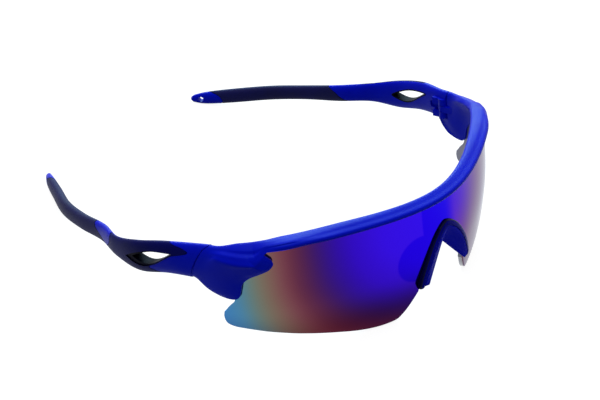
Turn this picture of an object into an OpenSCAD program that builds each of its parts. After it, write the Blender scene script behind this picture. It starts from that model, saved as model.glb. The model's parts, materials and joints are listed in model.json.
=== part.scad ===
// Wrap-around half-rim sports sunglasses with a one-piece shield lens
// The pieces are drawn as they are worn: X to the wearer's left, the front faces -Y, Z up.
// stand() then tips the whole thing forward, so that the lens and the temple tips rest on Z = 0.

/* [Wrap curve] */
// Radius of the wrap at the middle of the brow
brow_radius = 49.5; // [45:0.5:56]
// Distance along the brow over which that tighter bend fades
brow_half = 16; // [13:0.5:18]
// Radius of the wrap along the flatter sides
side_radius = 160; // [140:5:190]
// Radius of the bend at each corner
corner_radius = 19.5; // [18:0.5:22]
// Distance along the wrap from the middle to each corner
corner_at = 68; // [66:0.5:70]
// Half the length of the bend at each corner
corner_half = 8.8; // [8.4:0.1:9.2]
// Vertical radius of the lens shell
bow_radius = 165; // [140:5:220]
// How far the middle of the shell stands further forward round the nose
nose_bulge = 1.4; // [0.8:0.1:1.8]

/* [Lens] */
// Thickness of the lens
lens_t = 1.8; // [1.6:0.1:2.2]
// How far the lens reaches up into its groove
lens_tuck = 1.0; // [0.8:0.05:1.1]
// How deep each lens lobe hangs below the brow
lens_drop = 39.3; // [37:0.1:42]
// Half width of the nose notch at its foot
notch_half = 12.8; // [12.2:0.1:13.2]
// Height of the nose notch's arch above its foot
notch_rise = 20; // [18:0.5:21]
// Height of the notch's foot below the brow
notch_foot = 31; // [30:0.5:33]

/* [Frame] */
// Depth of the brow bar, front to back, at the middle
bar_depth_mid = 3.6; // [3.2:0.1:4.4]
// Depth of the brow bar at the corners
bar_depth_corner = 6; // [5:0.1:6.6]
// Height of the brow bar above its front lip
bar_h = 2.7; // [2.5:0.1:3.2]
// How far the front lip stands out in front of the lens
lip_t = 1.4; // [1:0.05:1.6]
// How far the end pieces stand out from the lens at their ridge
ridge_t = 2.2; // [1.8:0.1:2.6]
// Clearance between the lens and its groove
lens_fit = 0.1; // [0.05:0.01:0.15]
// How far the lens is set back behind the shell at its top
lens_set = 0.9; // [0.5:0.1:1]
// Half width of the bridge post behind the lens
post_half = 7; // [5:0.5:8]
// Thickness of the bridge post
post_t = 1.8; // [1.4:0.1:2.2]

/* [Nose piece] */
// How far the nose clip laps over the lens at its top
clip_lap = 1.6; // [1.2:0.1:1.9]
// How far the nose clip laps over the lens at its feet
clip_foot_lap = 1.1; // [0.9:0.1:1.8]
// Thickness of the clip's walls
clip_t = 0.9; // [0.7:0.05:1.1]
// Height of the open V between the nose pads, below the brow
vee_top = 17.5; // [16.5:0.5:19]
// How far the pads reach back behind the lens
pad_reach = 6; // [5:0.5:8]
// Thickness of the rubber pads
pad_t = 1.8; // [1.5:0.1:2.4]

/* [Hinge] */
// Radius of the hinge knuckles
knuckle_r = 2.1; // [1.9:0.05:2.2]
// Height of each hinge knuckle
knuckle_h = 2.4; // [2.3:0.05:2.5]
// Radius of the hinge screw's shank
screw_r = 0.7; // [0.6:0.05:0.8]
// Radius of the hinge screw's head
screw_head_r = 1.25; // [1.15:0.05:1.35]
// Radial clearance of the screw in its knuckles
screw_fit = 0.05; // [0.03:0.01:0.08]
// Gap between one knuckle and the next
knuckle_gap = 0.15; // [0.12:0.01:0.2]
// Gap at the seam between the frame and each temple
seam_gap = 0.3; // [0.25:0.05:0.4]

/* [Temples] */
// Length of each temple from the hinge axis to its tip
temple_len = 105.8; // [99:0.2:112]
// How far each temple bends in at its tip
temple_bend = 25.6; // [21:0.1:28]
// Half height of the temple at the hinge
temple_half_h = 5.65; // [5.4:0.05:6]
// Half height of the ear end
ear_half_h = 2.85; // [2.7:0.05:3.4]
// Half thickness of the temple at the hinge
temple_half_t = 2.3; // [2.2:0.05:2.5]
// Half thickness of the ear end
ear_half_t = 2; // [1.9:0.05:2.4]
// Thickness of the dark overmould on the outside of the temple
inlay_t = 0.8; // [0.6:0.05:0.9]
// Thickness of the rubber ear sock
sock_t = 0.8; // [0.6:0.05:0.9]
// Clearance between the moulded-on pieces and the core
skin_fit = 0.03; // [0.02:0.01:0.05]
// Length of the slot through the temple
slot_len = 18; // [16:0.2:19]
// Height of the slot through the temple
slot_h = 4.2; // [3.8:0.1:4.6]
// Width of the dark rim inside the slot
slot_rim = 0.5; // [0.4:0.05:0.8]
// Radius of the lanyard hole in each tip
lanyard_r = 1; // [0.8:0.05:1.1]

/* [Hidden] */
deg = 180 / PI;

// Smooth curve through rows [t, value, value, ...], by cubic pieces with matched slopes
function row_slope(rows, i) = let (a = max(i - 1, 0), b = min(i + 1, len(rows) - 1))
    (rows[b] - rows[a]) / (rows[b][0] - rows[a][0]);
function row_at(rows, t, i = 0) = (i >= len(rows) - 2 || t < rows[i + 1][0]) ? i : row_at(rows, t, i + 1);
function smooth(rows, t) =
    let (i = row_at(rows, t), h = rows[i + 1][0] - rows[i][0], u = (t - rows[i][0]) / h)
    rows[i] * (1 + 2 * u) * pow(1 - u, 2) + rows[i + 1] * u * u * (3 - 2 * u)
    + (row_slope(rows, i) * u * pow(1 - u, 2) - row_slope(rows, i + 1) * u * u * (1 - u)) * h;
function mix(a, b, t) = a * (1 - t) + b * t;
function ease(a, b, t) = let (u = max(0, min(1, (t - a) / (b - a)))) u * u * (3 - 2 * u);
function power(v, n) = sign(v) * pow(abs(v), n);
function reversed(v) = [for (i = [len(v) - 1 : -1 : 0]) v[i]];

// The wrap curve: its bend is the side's, plus a tighter middle and a tight corner, then straight
wrap_step = 0.5;
wrap_end = 110;
corner_end = corner_at + 2 * corner_half;
function bend(s) = s > corner_end ? 0 : 1 / side_radius
    + (1 / brow_radius - 1 / side_radius) * exp(-pow(s / brow_half, 2))
    + (1 / corner_radius - 1 / side_radius) * exp(-pow((s - corner_at) / corner_half, 2));
wrap = [for (i = 0, x = 0, y = 0, t = bend(0) * wrap_step * deg / 2; i * wrap_step <= wrap_end;
    x = x + wrap_step * cos(t), y = y + wrap_step * sin(t),
    t = t + wrap_step * deg * bend((i + 1) * wrap_step), i = i + 1) [i * wrap_step, x, y, t]];
wrap_x = [for (p = wrap) [p[0], p[1]]];
wrap_y = [for (p = wrap) [p[0], p[2]]];
wrap_turn = [for (p = wrap) [p[0], p[3]]];

// A point on the lens shell: s along the wrap, z up, e out from the lens's front face
bow_centre = 1;
function bow(z) = (pow(z - bow_centre, 2) - pow(bow_centre, 2)) / (2 * bow_radius);
bulge_half = 18;
function bulge(s, z) = nose_bulge * ease(4, 24, -z) * exp(-pow(s / bulge_half, 2));
function on_shell(s, z, e) = let (a = abs(s), t = lookup(a, wrap_turn))
    [sign(s) * (lookup(a, wrap_x) + e * sin(t)), lookup(a, wrap_y) - e * cos(t) + bow(z) - bulge(a, z), z];
tiny = 0.0001;
// The lens and what it carries are set back behind the shell at the top, and less so further down
sink_depth = 26;
function lens_sink(z) = lens_set * (1 - ease(0, sink_depth, -z));

// The front lip's lower edge along the brow, which rises towards the corners
edge_mid = -1.06;
edge_rise = 2.25;
edge_peak = 61.6;
function edge_z(s) = edge_mid + edge_rise * (1 - cos(180 * s / edge_peak)) / 2;

// The hinge stands in the straight end of the wrap
hinge_at = 87.2;
hinge_inset = 2.2;
hinge_turn = lookup(hinge_at, wrap_turn);
hinge_x = lookup(hinge_at, wrap_x) - hinge_inset * sin(hinge_turn);
hinge_y = lookup(hinge_at, wrap_y) + hinge_inset * cos(hinge_turn);
hinge_z = -5.2;
barrel = [hinge_z - 1.5 * knuckle_h - knuckle_gap, hinge_z + 1.5 * knuckle_h + knuckle_gap];
ear_low = [barrel[0], barrel[0] + knuckle_h];
ear_high = [barrel[1] - knuckle_h, barrel[1]];
tongue = [hinge_z - knuckle_h / 2, hinge_z + knuckle_h / 2];
relief_r = knuckle_r + 0.25;
head_h = 0.7;

// The seam between frame and temple: it leans back towards its foot and forward towards the inside
seam_lean = 0.44;
seam_skew = 0.35;
seam_mid = hinge_y - 0.3;
function seam_y(x, z) = seam_mid - seam_lean * z + seam_skew * (abs(x) - hinge_x - 3.3);

// Temple spine: rows [distance behind the hinge, out from the hinge, height, half height, half thickness]
function temple_row(u, x, z, hh, ht) =
    [u * temple_len / 105.8, x < 0 ? x * temple_bend / 25.6 : x, z, hh, ht];
temple_rows = [
    temple_row(-5, 0.5, -4.4, temple_half_h + 0.4, temple_half_t),
    temple_row(1, 1.6, -4.7, temple_half_h + 0.15, temple_half_t),
    temple_row(13, 4.6, -5.1, temple_half_h, temple_half_t),
    temple_row(25, 5.9, -7.2, temple_half_h - 0.2, temple_half_t - 0.25),
    temple_row(37, 4.2, -8.2, mix(temple_half_h, ear_half_h, 0.68), temple_half_t - 0.85),
    temple_row(49, -0.9, -8.9, ear_half_h + 0.45, ear_half_t - 0.35),
    temple_row(63, -4.3, -10, ear_half_h, ear_half_t),
    temple_row(77, -9.1, -11, ear_half_h, ear_half_t),
    temple_row(91, -16.9, -11.95, ear_half_h, ear_half_t - 0.1),
    temple_row(101, -22.6, -12.6, ear_half_h - 0.45, ear_half_t - 0.4),
    temple_row(105.8, -25.6, -12.6, ear_half_h - 1.6, ear_half_t - 1)];
section_power = 2.3;
top_lean = 0.11;
// Point of the temple's surface: u behind the hinge, angle a from outside (0) over the top (90),
// inset below the skin. Near the hinge the section leans inwards at its top.
function temple_point(u, a, inset) = let (r = smooth(temple_rows, u), q = smooth(temple_rows, u + 0.5),
    slant = norm([1, (q[1] - r[1]) * 2]), hh = max(0.2, r[3] - inset), ht = max(0.2, r[4] - inset) * slant,
    rise = hh * power(sin(a), 2 / section_power), lean = top_lean * (1 - ease(0, 13, u)))
    [hinge_x + r[1] + ht * power(cos(a), 2 / section_power) - lean * rise, hinge_y + u, r[2] + rise];

// A closed mesh over rings of points, capped at both ends or joined end to end.
// From ring or place `turned` on, the quads are split along their other diagonal, and the ring
// of a thin skin runs out along one face and back along the other, so its caps are strips.
function ring_faces(n, k, closed, turned) = [
    for (i = [0 : n - (closed ? 1 : 2)], j = [0 : k - 1], h = [0, 1])
    let (a = i * k + j, b = i * k + (j + 1) % k, next = ((i + 1) % n) * k)
    let (c = next + j, d = next + (j + 1) % k)
    i >= turned[0] || j >= turned[1] ? (h == 0 ? [a, b, c] : [b, d, c]) : (h == 0 ? [a, b, d] : [a, d, c])];
module skin(rings, closed = false, turned = [9999, 9999], thin = false) {
    n = len(rings);
    k = len(rings[0]);
    m = (n - 1) * k;
    whole_caps = [[for (j = [k - 1 : -1 : 0]) j], [for (j = [0 : k - 1]) m + j]];
    thin_caps = [for (j = [0 : k / 2 - 2]) each [[j + 1, j, k - 2 - j], [j, k - 1 - j, k - 2 - j],
        [m + j, m + j + 1, m + k - 1 - j], [m + j + 1, m + k - 2 - j, m + k - 1 - j]]];
    caps = closed ? [] : thin ? thin_caps : whole_caps;
    polyhedron([for (r = rings, p = r) p], concat(ring_faces(n, k, closed, turned), caps));
}

// Claw and end piece: rows [way along the lower edge, s, z], from the brow's lip past the seam
claw_rows = [
    [0, 64.6, 1.3], [0.05, 65.9, 0.5], [0.1, 64.8, -0.7], [0.15, 63.7, -1.8], [0.2, 63.6, -3.2],
    [0.26, 65, -4.8], [0.34, 68, -6.1], [0.43, 71.2, -7.5], [0.51, 73.6, -9.8], [0.58, 74.3, -12.6],
    [0.65, 74.9, -14.8], [0.71, 76.5, -15.8], [0.78, 79.6, -15.8], [0.86, 84, -14.6],
    [0.93, 89, -11.8], [1, 95, -10.5]];
claw_start = 64.6;
claw_end = 95;
// Rows [s, height of the top, depth, ridge's height, how far the ridge stands out, height of the slope
// above the ridge]
end_rows = [
    [55, edge_z(55) + bar_h - 0.4, mix(bar_depth_mid, bar_depth_corner, 0.78), -1.5, ridge_t - 1.6, 2.2],
    [62, 3.5, bar_depth_corner - 0.2, -1.7, ridge_t - 1.5, 1.2],
    [66, 3.3, bar_depth_corner, -2, ridge_t - 0.6, 0.7],
    [70, 2.9, bar_depth_corner, -2.2, ridge_t - 0.2, 0.5],
    [74, 2.5, bar_depth_corner - 0.3, -2.2, ridge_t, 0.45],
    [78, 2.1, bar_depth_corner - 0.8, -1.9, ridge_t, 0.45],
    [84, 1.5, bar_depth_corner - 1.5, -1.2, ridge_t - 0.1, 0.5],
    [95, 1.2, bar_depth_corner - 2.4, -0.8, ridge_t - 0.2, 0.6]];
function bar_rows(s) = s >= 55 ? smooth(end_rows, s) : [s, edge_z(s) + bar_h - 0.4 * ease(35, 55, s),
    mix(bar_depth_mid, bar_depth_corner, 0.78 * pow(s / 55, 2) * (1.6 - 0.6 * s / 55)),
    -1.5, ridge_t - 1.6, 2.2];
brow_cols = 16;
claw_cols = 30;
frame_cols = brow_cols + claw_cols;
column_lean = 0.18;
back_lip = 1;
shelf_h = 3.2;
inner_wall_e = -3.6;
// Height fraction of a point on a column -> how far it has swung from the foot's s to the top's s
function swing(f) = let (g = max(0, min(1, f)), rest = 1 - 2 * column_lean,
    q = (sqrt(pow(column_lean, 2) + rest * g) - column_lean) / rest) 1 - pow(1 - q, 2);

// The lens's top edge: in the groove along the brow, then down inside the end piece
lens_top_rows = [
    [64, edge_z(64) + lens_tuck - 0.4], [67, 1.2], [70, -0.3], [72.4, -2.8], [74.2, -5.4], [75.2, -8.4],
    [75.8, -11.6], [76.3, -14.5], [77.1, -17], [79, -19.1], [80.6, -21.3]];
function lens_top(s) = s <= 64 ? edge_z(s) + lens_tuck - 0.4 * ease(48, 60, s)
    : smooth(lens_top_rows, min(s, 80.6))[1];
// The groove has more room than the lens needs where it runs down inside the end piece
groove_room = 0.35;
function groove_top(s) = lens_top(s - groove_room * ease(66, 72, s)) + lens_fit;
min_groove = 0.05;

// One column of the frame: [foot s, foot z, top s, top z, depth, ridge z, ridge e, slope z]
function column(w) = let (t = (w - brow_cols) / claw_cols, foot = smooth(claw_rows, t),
    s = w > brow_cols ? mix(claw_start, claw_end, t) : claw_start * w / brow_cols, r = bar_rows(s))
    [w > brow_cols ? foot[1] : s, w > brow_cols ? foot[2] : edge_z(s), s, r[1], r[2], r[3], r[4], r[5]];
// Three sections [out from the lens, height], from the front lip up over the top and down the back:
// the brow bar, the claw with its ridge and valley, and the seam, which has the temple's own shape
function bar_front(lip) = [[0.3, 0], [0.62 * lip / lip_t, 0.1], [lip - 0.15, 0.33], [lip, 0.65],
    [lip, 0.95], [lip - 0.12, 1.25], [lip - 0.45, 1.6]];
function bar_section(zb, zt, d, lip, lean) =
    let (rear = groove_back - lens_sink(zb - back_lip), shoulder = zb + 1.6)
    concat([for (p = bar_front(lip)) [p[0] - lean * p[1], zb + p[1]]],
    [[-0.5, mix(shoulder, zt, 0.4)], [-1.7, mix(shoulder, zt, 0.8)], [1 - d, zt], [0.2 - d, zt - 0.4],
    [-0.05 - d, zt - 1.2], [0.3 - d, max(zt - bar_h, zb - 0.2)],
    [min(0.9 - d, rear - 0.4), zb - back_lip + 0.1], [rear - 0.2, zb - back_lip]]);
// The ridge fades where the claw is short, at the top of its notch, and the corner above slopes back
short_ridge = 0.4;
ridge_fade = 2.5;
corner_slope = 0.72;
corner_foot = 0.9;
function under_slope(p) = let (lim = corner_slope * (corner_foot - p[1]))
    [(p[0] + lim - sqrt(pow(p[0] - lim, 2) + 0.06)) / 2, p[1]];
function claw_section(zb, zt, d, zr, full, slope) =
    let (r = max(zr, mix(zb, zt, 0.25)), o = max(slope, mix(r, zt, 0.38)),
        out = mix(short_ridge, full, ease(0, ridge_fade, r - zb)))
    concat([for (p = [[0.4, zb], [max(0.45, 0.45 * out), mix(zb, r, 0.12)],
    [max(0.5, 0.64 * out), mix(zb, r, 0.35)], [max(0.55, 0.82 * out), mix(zb, r, 0.68)], [out, r],
    [0.75 * out, mix(r, o, 0.48)], [0.3 * out, mix(r, o, 0.82)], [-0.6, o + 0.15],
    [-1.3, mix(o, zt, 0.46)]]) under_slope(p)],
    [[1.9 - d, zt], [0.8 - d, zt - 0.45], [-d, zt - 1.4],
    [mix(inner_wall_e, -d, 0.4), max(zt - shelf_h, mix(zb, zt, 0.5))], [inner_wall_e, mix(zb, zt, 0.32)],
    [inner_wall_e + 0.4, zb + 0.12]]);
seam_blend = 7;
seam_angles = [-78, -62, -44, -24, -3, 18, 38, 56, 74, 94, 118, 146, 176, 212, 250];
seam_normal = [sin(hinge_turn), -cos(hinge_turn)];
seam_origin = [lookup(hinge_at, wrap_x), lookup(hinge_at, wrap_y)];
seam_section = [for (a = seam_angles) let (p = temple_point(-1, a, 0))
    [([p[0], p[1] - bow(p[2])] - seam_origin) * seam_normal, p[2]]];
groove_back = -lens_t - lens_fit;
function column_s(c, z) = mix(c[0], c[2], swing((z - c[1]) / (c[3] - c[1])));
function on_column(c, p) = on_shell(column_s(c, p[1]) + tiny, p[1], p[0]);
// Height at which the lens's top edge crosses a column
function groove_z(c, lo, hi, n = 10) = let (m = (lo + hi) / 2)
    n == 0 ? m : groove_top(column_s(c, m)) > m ? groove_z(c, m, hi, n - 1) : groove_z(c, lo, m, n - 1);
function lip_at(s) = lip_t - (lip_t - 0.4) * ease(44, 60, s);
function lip_lean(s) = 0.35 * ease(50, 60, s);
function column_points(w, side) =
    let (c = column(w), bar = bar_section(c[1], c[3], c[4], lip_at(c[2]), lip_lean(c[2])),
        claw = claw_section(c[1], c[3], c[4], c[5], c[6], c[7]), to_claw = ease(58, 66, c[2]),
        ring = [for (i = [0 : 14]) let (p = mix(bar[i], claw[i], to_claw), q = on_column(c, p))
            mix(seam_section[i], p, ease(0, seam_blend, seam_y(q[0], q[2]) - q[1]))],
        top = groove_top(c[0]) > c[1] && c[0] < 80 ? groove_z(c, c[1], c[3]) : c[1],
        groove = max(c[1] + min_groove, top),
        rear = [for (f = [0.1, 0.4, 0.7, 1]) let (z = mix(ring[14][1], groove, f))
            [max(groove_back - lens_sink(z), ring[14][0] + 0.1), z]],
        front = [for (f = [1, 0.7, 0.4, 0.02]) let (z = mix(ring[0][1], groove, f))
            [min(lens_fit - lens_sink(z), ring[0][0] - 0.1), z]])
    [for (p = concat(ring, rear, front)) let (q = on_column(c, p)) [side * q[0], q[1], q[2]]];

// Upright cylinder on the hinge axis, between two heights
module on_hinge(side, span, r) translate([side * hinge_x, hinge_y, span[0]])
    cylinder(h = span[1] - span[0], r = r, $fn = 40);
function widen(span, by) = [span[0] - by, span[1] + by];
// Box beside the hinge axis: x outwards and y backwards from the axis
module by_hinge(side, x, y, z) translate([side * hinge_x + (side > 0 ? x[0] : -x[1]), hinge_y + y[0], z[0]])
    cube([x[1] - x[0], y[1] - y[0], z[1] - z[0]]);
// Block on one side of the seam, as far as the given distances behind it
module seam_block(side, from, to) {
    corners = [for (d = [from, to], q = [[54, -26], [76, -26], [76, 9], [54, 9]])
        [side * q[0], seam_y(q[0], q[1]) + d, q[1]]];
    sides = [[3, 2, 1, 0], [4, 5, 6, 7], [0, 1, 5, 4], [1, 2, 6, 5], [2, 3, 7, 6], [3, 0, 4, 7]];
    polyhedron(corners, side > 0 ? sides : [for (f = sides) reversed(f)]);
}
module frame_end_cut(side) {
    seam_block(side, -seam_gap / 2, 40);
    on_hinge(side, [ear_high[0] - knuckle_gap, 6], relief_r);
    on_hinge(side, widen(ear_low, knuckle_gap), relief_r);
    for (span = [[ear_high[0] - knuckle_gap, ear_high[1] + 1.6], widen(ear_low, knuckle_gap)])
        by_hinge(side, [-8, 0.05], [-relief_r, 9], span);
    by_hinge(side, [0, relief_r], [0, 9], widen(ear_low, knuckle_gap));
}
module brow_frame() color([0.06, 0.16, 0.75]) {
    difference() {
        union() {
            difference() {
                skin([for (i = [-frame_cols : frame_cols]) column_points(abs(i), i < 0 ? -1 : 1)]);
                frame_end_cut(-1);
                frame_end_cut(1);
            }
            for (side = [-1, 1]) {
                on_hinge(side, tongue, knuckle_r);
                by_hinge(side, [-knuckle_r, 0.5], [-6, -0.5], tongue);
            }
        }
        for (side = [-1, 1])
            on_hinge(side, widen(tongue, 0.5), screw_r + screw_fit);
    }
    post_front = groove_back - 0.1;
    shell_plate(post_half, [post_low, edge_mid - back_lip + 0.4], [post_front, post_front - post_t], 8, 4);
}
// A curved plate behind the middle of the lens, which follows how far the lens is set back
module shell_plate(half, z, e, n, m) skin([for (i = [0 : n]) let (s = mix(-half, half, i / n) + tiny)
    concat([for (j = [0 : m]) let (h = mix(z[0], z[1], j / m)) on_shell(s, h, e[0] - lens_sink(h))],
        [for (j = [m : -1 : 0]) let (h = mix(z[0], z[1], j / m)) on_shell(s, h, e[1] - lens_sink(h))])]);

// Nose notch: arch point [s, z] at an angle from 0 at the left foot to 180 at the right foot
notch_power = 1.6;
function arch(a) = [notch_half * power(cos(a), 2 / notch_power),
    -notch_foot + notch_rise * power(sin(a), 2 / notch_power)];
post_low = -notch_foot + notch_rise + clip_lap + 0.4;

// Lens outline from the notch's foot to the rear lobe: rows [t, foot s, foot z, top s]
drop = -lens_drop;
lens_rows = [
    [0, notch_half, -notch_foot, 13.5], [1, 15.6, -notch_foot - 4, 16], [2, 18.1, drop + 1.5, 18.5],
    [3, 20.6, drop + 0.1, 21.5], [4, 26.8, drop + 0.2, 27.5], [5, 34.1, drop + 1.6, 34.5],
    [6, 41.6, drop + 3.8, 42], [7, 48.8, drop + 6, 49], [8, 55.6, drop + 8.2, 56],
    [9, 62.2, drop + 10.4, 62.5], [10, 68.5, drop + 12, 68.6],
    [11, 73, drop + 12.6, 72.4], [12, 76.6, drop + 12.8, 75.2], [13, 79.2, drop + 13.4, 76.3],
    [14, 80.4, drop + 14.6, 79.2], [15, 80.85, drop + 16.1, 80.7]];
lens_cols = 34;
notch_cols = 9;
lens_rings = 7;
function lens_column(w) = let (n = arch(90 - 90 * w / notch_cols),
    r = smooth(lens_rows, (w - notch_cols) * 15 / (lens_cols - notch_cols)))
    w < notch_cols ? [n[0], n[1], mix(0, 13.5, w / notch_cols)] : [r[1], r[2], r[3]];
function lens_side(w, side, e) = let (c = lens_column(w), zt = lens_top(c[2]))
    [for (j = [0 : lens_rings]) let (f = j / lens_rings)
        let (z = mix(c[1], zt, f), p = on_shell(mix(c[0], c[2], f) + tiny, z, e - lens_sink(z)))
        [side * p[0], p[1], p[2]]];
module shield_lens() color([0.3, 0.1, 0.8, 0.8])
    skin([for (i = [-lens_cols : lens_cols]) let (side = i < 0 ? -1 : 1)
        concat(lens_side(abs(i), side, 0), reversed(lens_side(abs(i), side, -lens_t)))]);

// The clip is a channel that straddles the notch's edge, wider and thicker towards its feet
clip_web = 0.5;
clip_foot_t = 2;
arch_cols = 30;
arch_from = 7;
function arch_k(a) = abs(90 - a) / (90 - arch_from);
// The feet end in a round, so the sections shrink over their last stretch
function foot_taper(a) = 1 - 0.4 * pow(max(0, (arch_k(a) - 0.92) / 0.08), 2.5);
function clip_lap_at(a) = mix(clip_lap, clip_foot_lap, arch_k(a)) * foot_taper(a);
function clip_front(a) = mix(clip_t, clip_foot_t, pow(arch_k(a), 2.5)) * foot_taper(a);
function clip_section(a) = let (lap = clip_lap_at(a), e = clip_front(a),
        back = groove_back - clip_t * foot_taper(a))
    [[lap, lens_fit], [lap - 0.15, e - 0.25], [lap - 0.5, e], [-clip_web, e + 0.1],
    [-clip_web - lens_fit, back], [lap, back], [lap, groove_back], [-lens_fit, groove_back],
    [-lens_fit, lens_fit]];
// Arch point moved square to the notch's edge, on the shell. The feet are cut back behind the lens.
foot_cut = 12;
cut_span = 3;
function beside_arch(a, n, e) = let (behind = max(0, min(1, -e / cut_span)),
    b = a + sign(90 - a) * foot_cut * pow(arch_k(a), 5) * behind,
    u = arch(min(b + 1, 180)) - arch(max(b - 1, 0)), q = arch(b) + [u[1], -u[0]] * n / norm(u))
    on_shell(q[0] + (abs(q[0]) < 0.001 ? tiny : 0), q[1], e - lens_sink(q[1]));
module nose_clip() color([0.02, 0.02, 0.04])
    skin([for (i = [0 : arch_cols]) let (a = mix(arch_from, 180 - arch_from, i / arch_cols))
        [for (p = clip_section(a)) beside_arch(a, p[0], p[1])]]);

// The rubber saddle fills the arch down to an open V, and its two wings hug the nose behind the lens
vee_foot = 29.6;
vee_half = 10.8;
function vee_k(a) = let (k = arch_k(a)) (sqrt(k * k + 0.01) - 0.1) / 0.905;
function vee(a) = let (k = vee_k(a))
    [sign(90 - a + tiny) * vee_half * k, 2.2 - 1.3 * k, -vee_top - (vee_foot - vee_top) * k];
// How much less the pads reach back at their feet
pad_shrink = 0.5;
// Each ring's last point lies in the clip's inner corner, and the feet shrink towards it
function saddle_ring(a) = let (ring = saddle_section(a)) [for (p = ring) mix(ring[10], p, foot_taper(a))];
function saddle_section(a) =
    let (k = arch_k(a), web = -clip_web - lens_fit - 0.05, v = vee(a), back = groove_back - clip_t - 0.12,
        wide = mix(1.6, 7.5, ease(0.1, 0.8, k)) - 3.2 * pow(k, 4),
        reach = mix(0.6, 0.42, k) * pad_reach * (1 - pad_shrink * pow(k, 3)),
        lead = beside_arch(a, web, clip_front(a) - 0.1), tail = beside_arch(a, wide, back - reach + pad_t),
        in_tail = beside_arch(a, wide - 0.6, back - reach), mid_throat = mix(v, in_tail, 0.4) + [0, 0.6, 0],
        throat = mix(mid_throat, beside_arch(a, web - 1.2 + k * k * k, back - 0.8), ease(0.1, 0.6, k)))
    [lead, mix(lead, v, 0.55) + [0, -0.15, 0], v, v + [0, 0.7, 0], throat,
        mix(throat, in_tail, 0.55) + [0, 0.5, 0], in_tail,
        beside_arch(a, wide + 0.3, back - reach + pad_t / 2), tail,
        beside_arch(a, mix(clip_lap_at(a), wide, 0.3), back), beside_arch(a, web, back)];
saddle_cols = 28;
module nose_saddle() color([0.02, 0.03, 0.3])
    skin([for (i = [0 : saddle_cols]) saddle_ring(mix(arch_from, 180 - arch_from, i / saddle_cols))]);

// Temple parts are drawn on the left and mirrored for the right
module left_or_right(side) mirror([side < 0 ? 1 : 0, 0, 0]) children();
ring_n = 20;
function turn(j) = 360 * (j + 0.5) / ring_n;
// The inlay's front edge at each place round the section, and its rear edge
inlay_rears = [44, 44.6, 44.6, 44, 42.4];
function inlay_rear(j) = (j >= 15 ? inlay_rears[j - 15] : 41) * temple_len / 105.8;
inlay_fronts = [11.3, 4.6, 5.6, 9, 11, 11.4];
inlay_under = [15, 15.4, 16.8, 19, 16];
function in_inlay(j) = j <= 5 || j >= 15;
function inlay_front(j) = j <= 5 ? inlay_fronts[j] : j >= 15 ? inlay_under[j - 15] : 16;
// The sock's front and rear edges slant round the section
sock_mid = 49.3 * temple_len / 105.8;
sock_end_mid = 97.6 * temple_len / 105.8;
function sock_start(a) = max(sock_mid - 3.9,
    sock_mid + 3.7 * sin(a + 10) - 3.2 * pow(max(0, cos(a + 55)), 2));
function sock_rear(a) = sock_end_mid + 1.8 * sin(a) + 3 * cos(a);
step_l = 0.25;
sink_inlay = inlay_t + skin_fit;
sink_sock = sock_t + skin_fit;
inlay_steps = 12;
sock_steps = 16;
// Stations along the core at ring position j, with how far the surface is sunk there
function core_stations(j) = let (a = turn(j), f = inlay_front(j), g = inlay_rear(j), s = sock_start(a),
    r = sock_rear(a), inlay = in_inlay(j) ? sink_inlay : 0)
    concat(
        [for (i = [0 : 3]) [mix(-4.4, f, i / 3), 0]],
        [for (i = [0 : inlay_steps]) [mix(f + step_l, g - step_l, i / inlay_steps), inlay]],
        [[g, 0], [mix(g, s, 0.5), 0], [s, 0]],
        [for (i = [0 : sock_steps]) [mix(s + step_l, r - step_l, i / sock_steps), sink_sock]],
        [[r, 0], [mix(r, temple_len, 0.6), 0], [temple_len - 1.1, 0.05], [temple_len - 0.3, 0.45],
            [temple_len, 1]]);
// The slot is a leaf whose lower edge bellies out towards the rear, at the front of a longer shallow pocket
slot_front = [9.4, -2.6];
slot_tilt = -14.6;
pocket_longer = 3.2;
pocket_taller = 0.9;
pocket_depth = inlay_t / 2;
function leaf(l, h) = concat([for (i = [0 : 15]) let (f = i / 15) [l * f, 0.32 * h * sin(180 * f)]],
    [for (i = [14 : -1 : 1]) let (f = i / 15) [l * f, -0.68 * h * sin(180 * pow(f, 1.4))]]);
module leaf_prism(l, h, grow, in) translate([hinge_x + 5 - in, hinge_y + slot_front[0], slot_front[1]])
    rotate([slot_tilt, 0, 0]) rotate([90, 0, 90]) linear_extrude(height = 8 + in)
        offset(delta = grow) polygon(leaf(l, h));
module slot_prism(grow) leaf_prism(slot_len, slot_h, grow, 8);
// The temple's body round the slot, inset below its skin
module body_at_slot(inset) skin([for (i = [0 : 12])
    [for (j = [0 : ring_n - 1]) temple_point(mix(7, 35, i / 12), turn(j), inset)]]);
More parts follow.
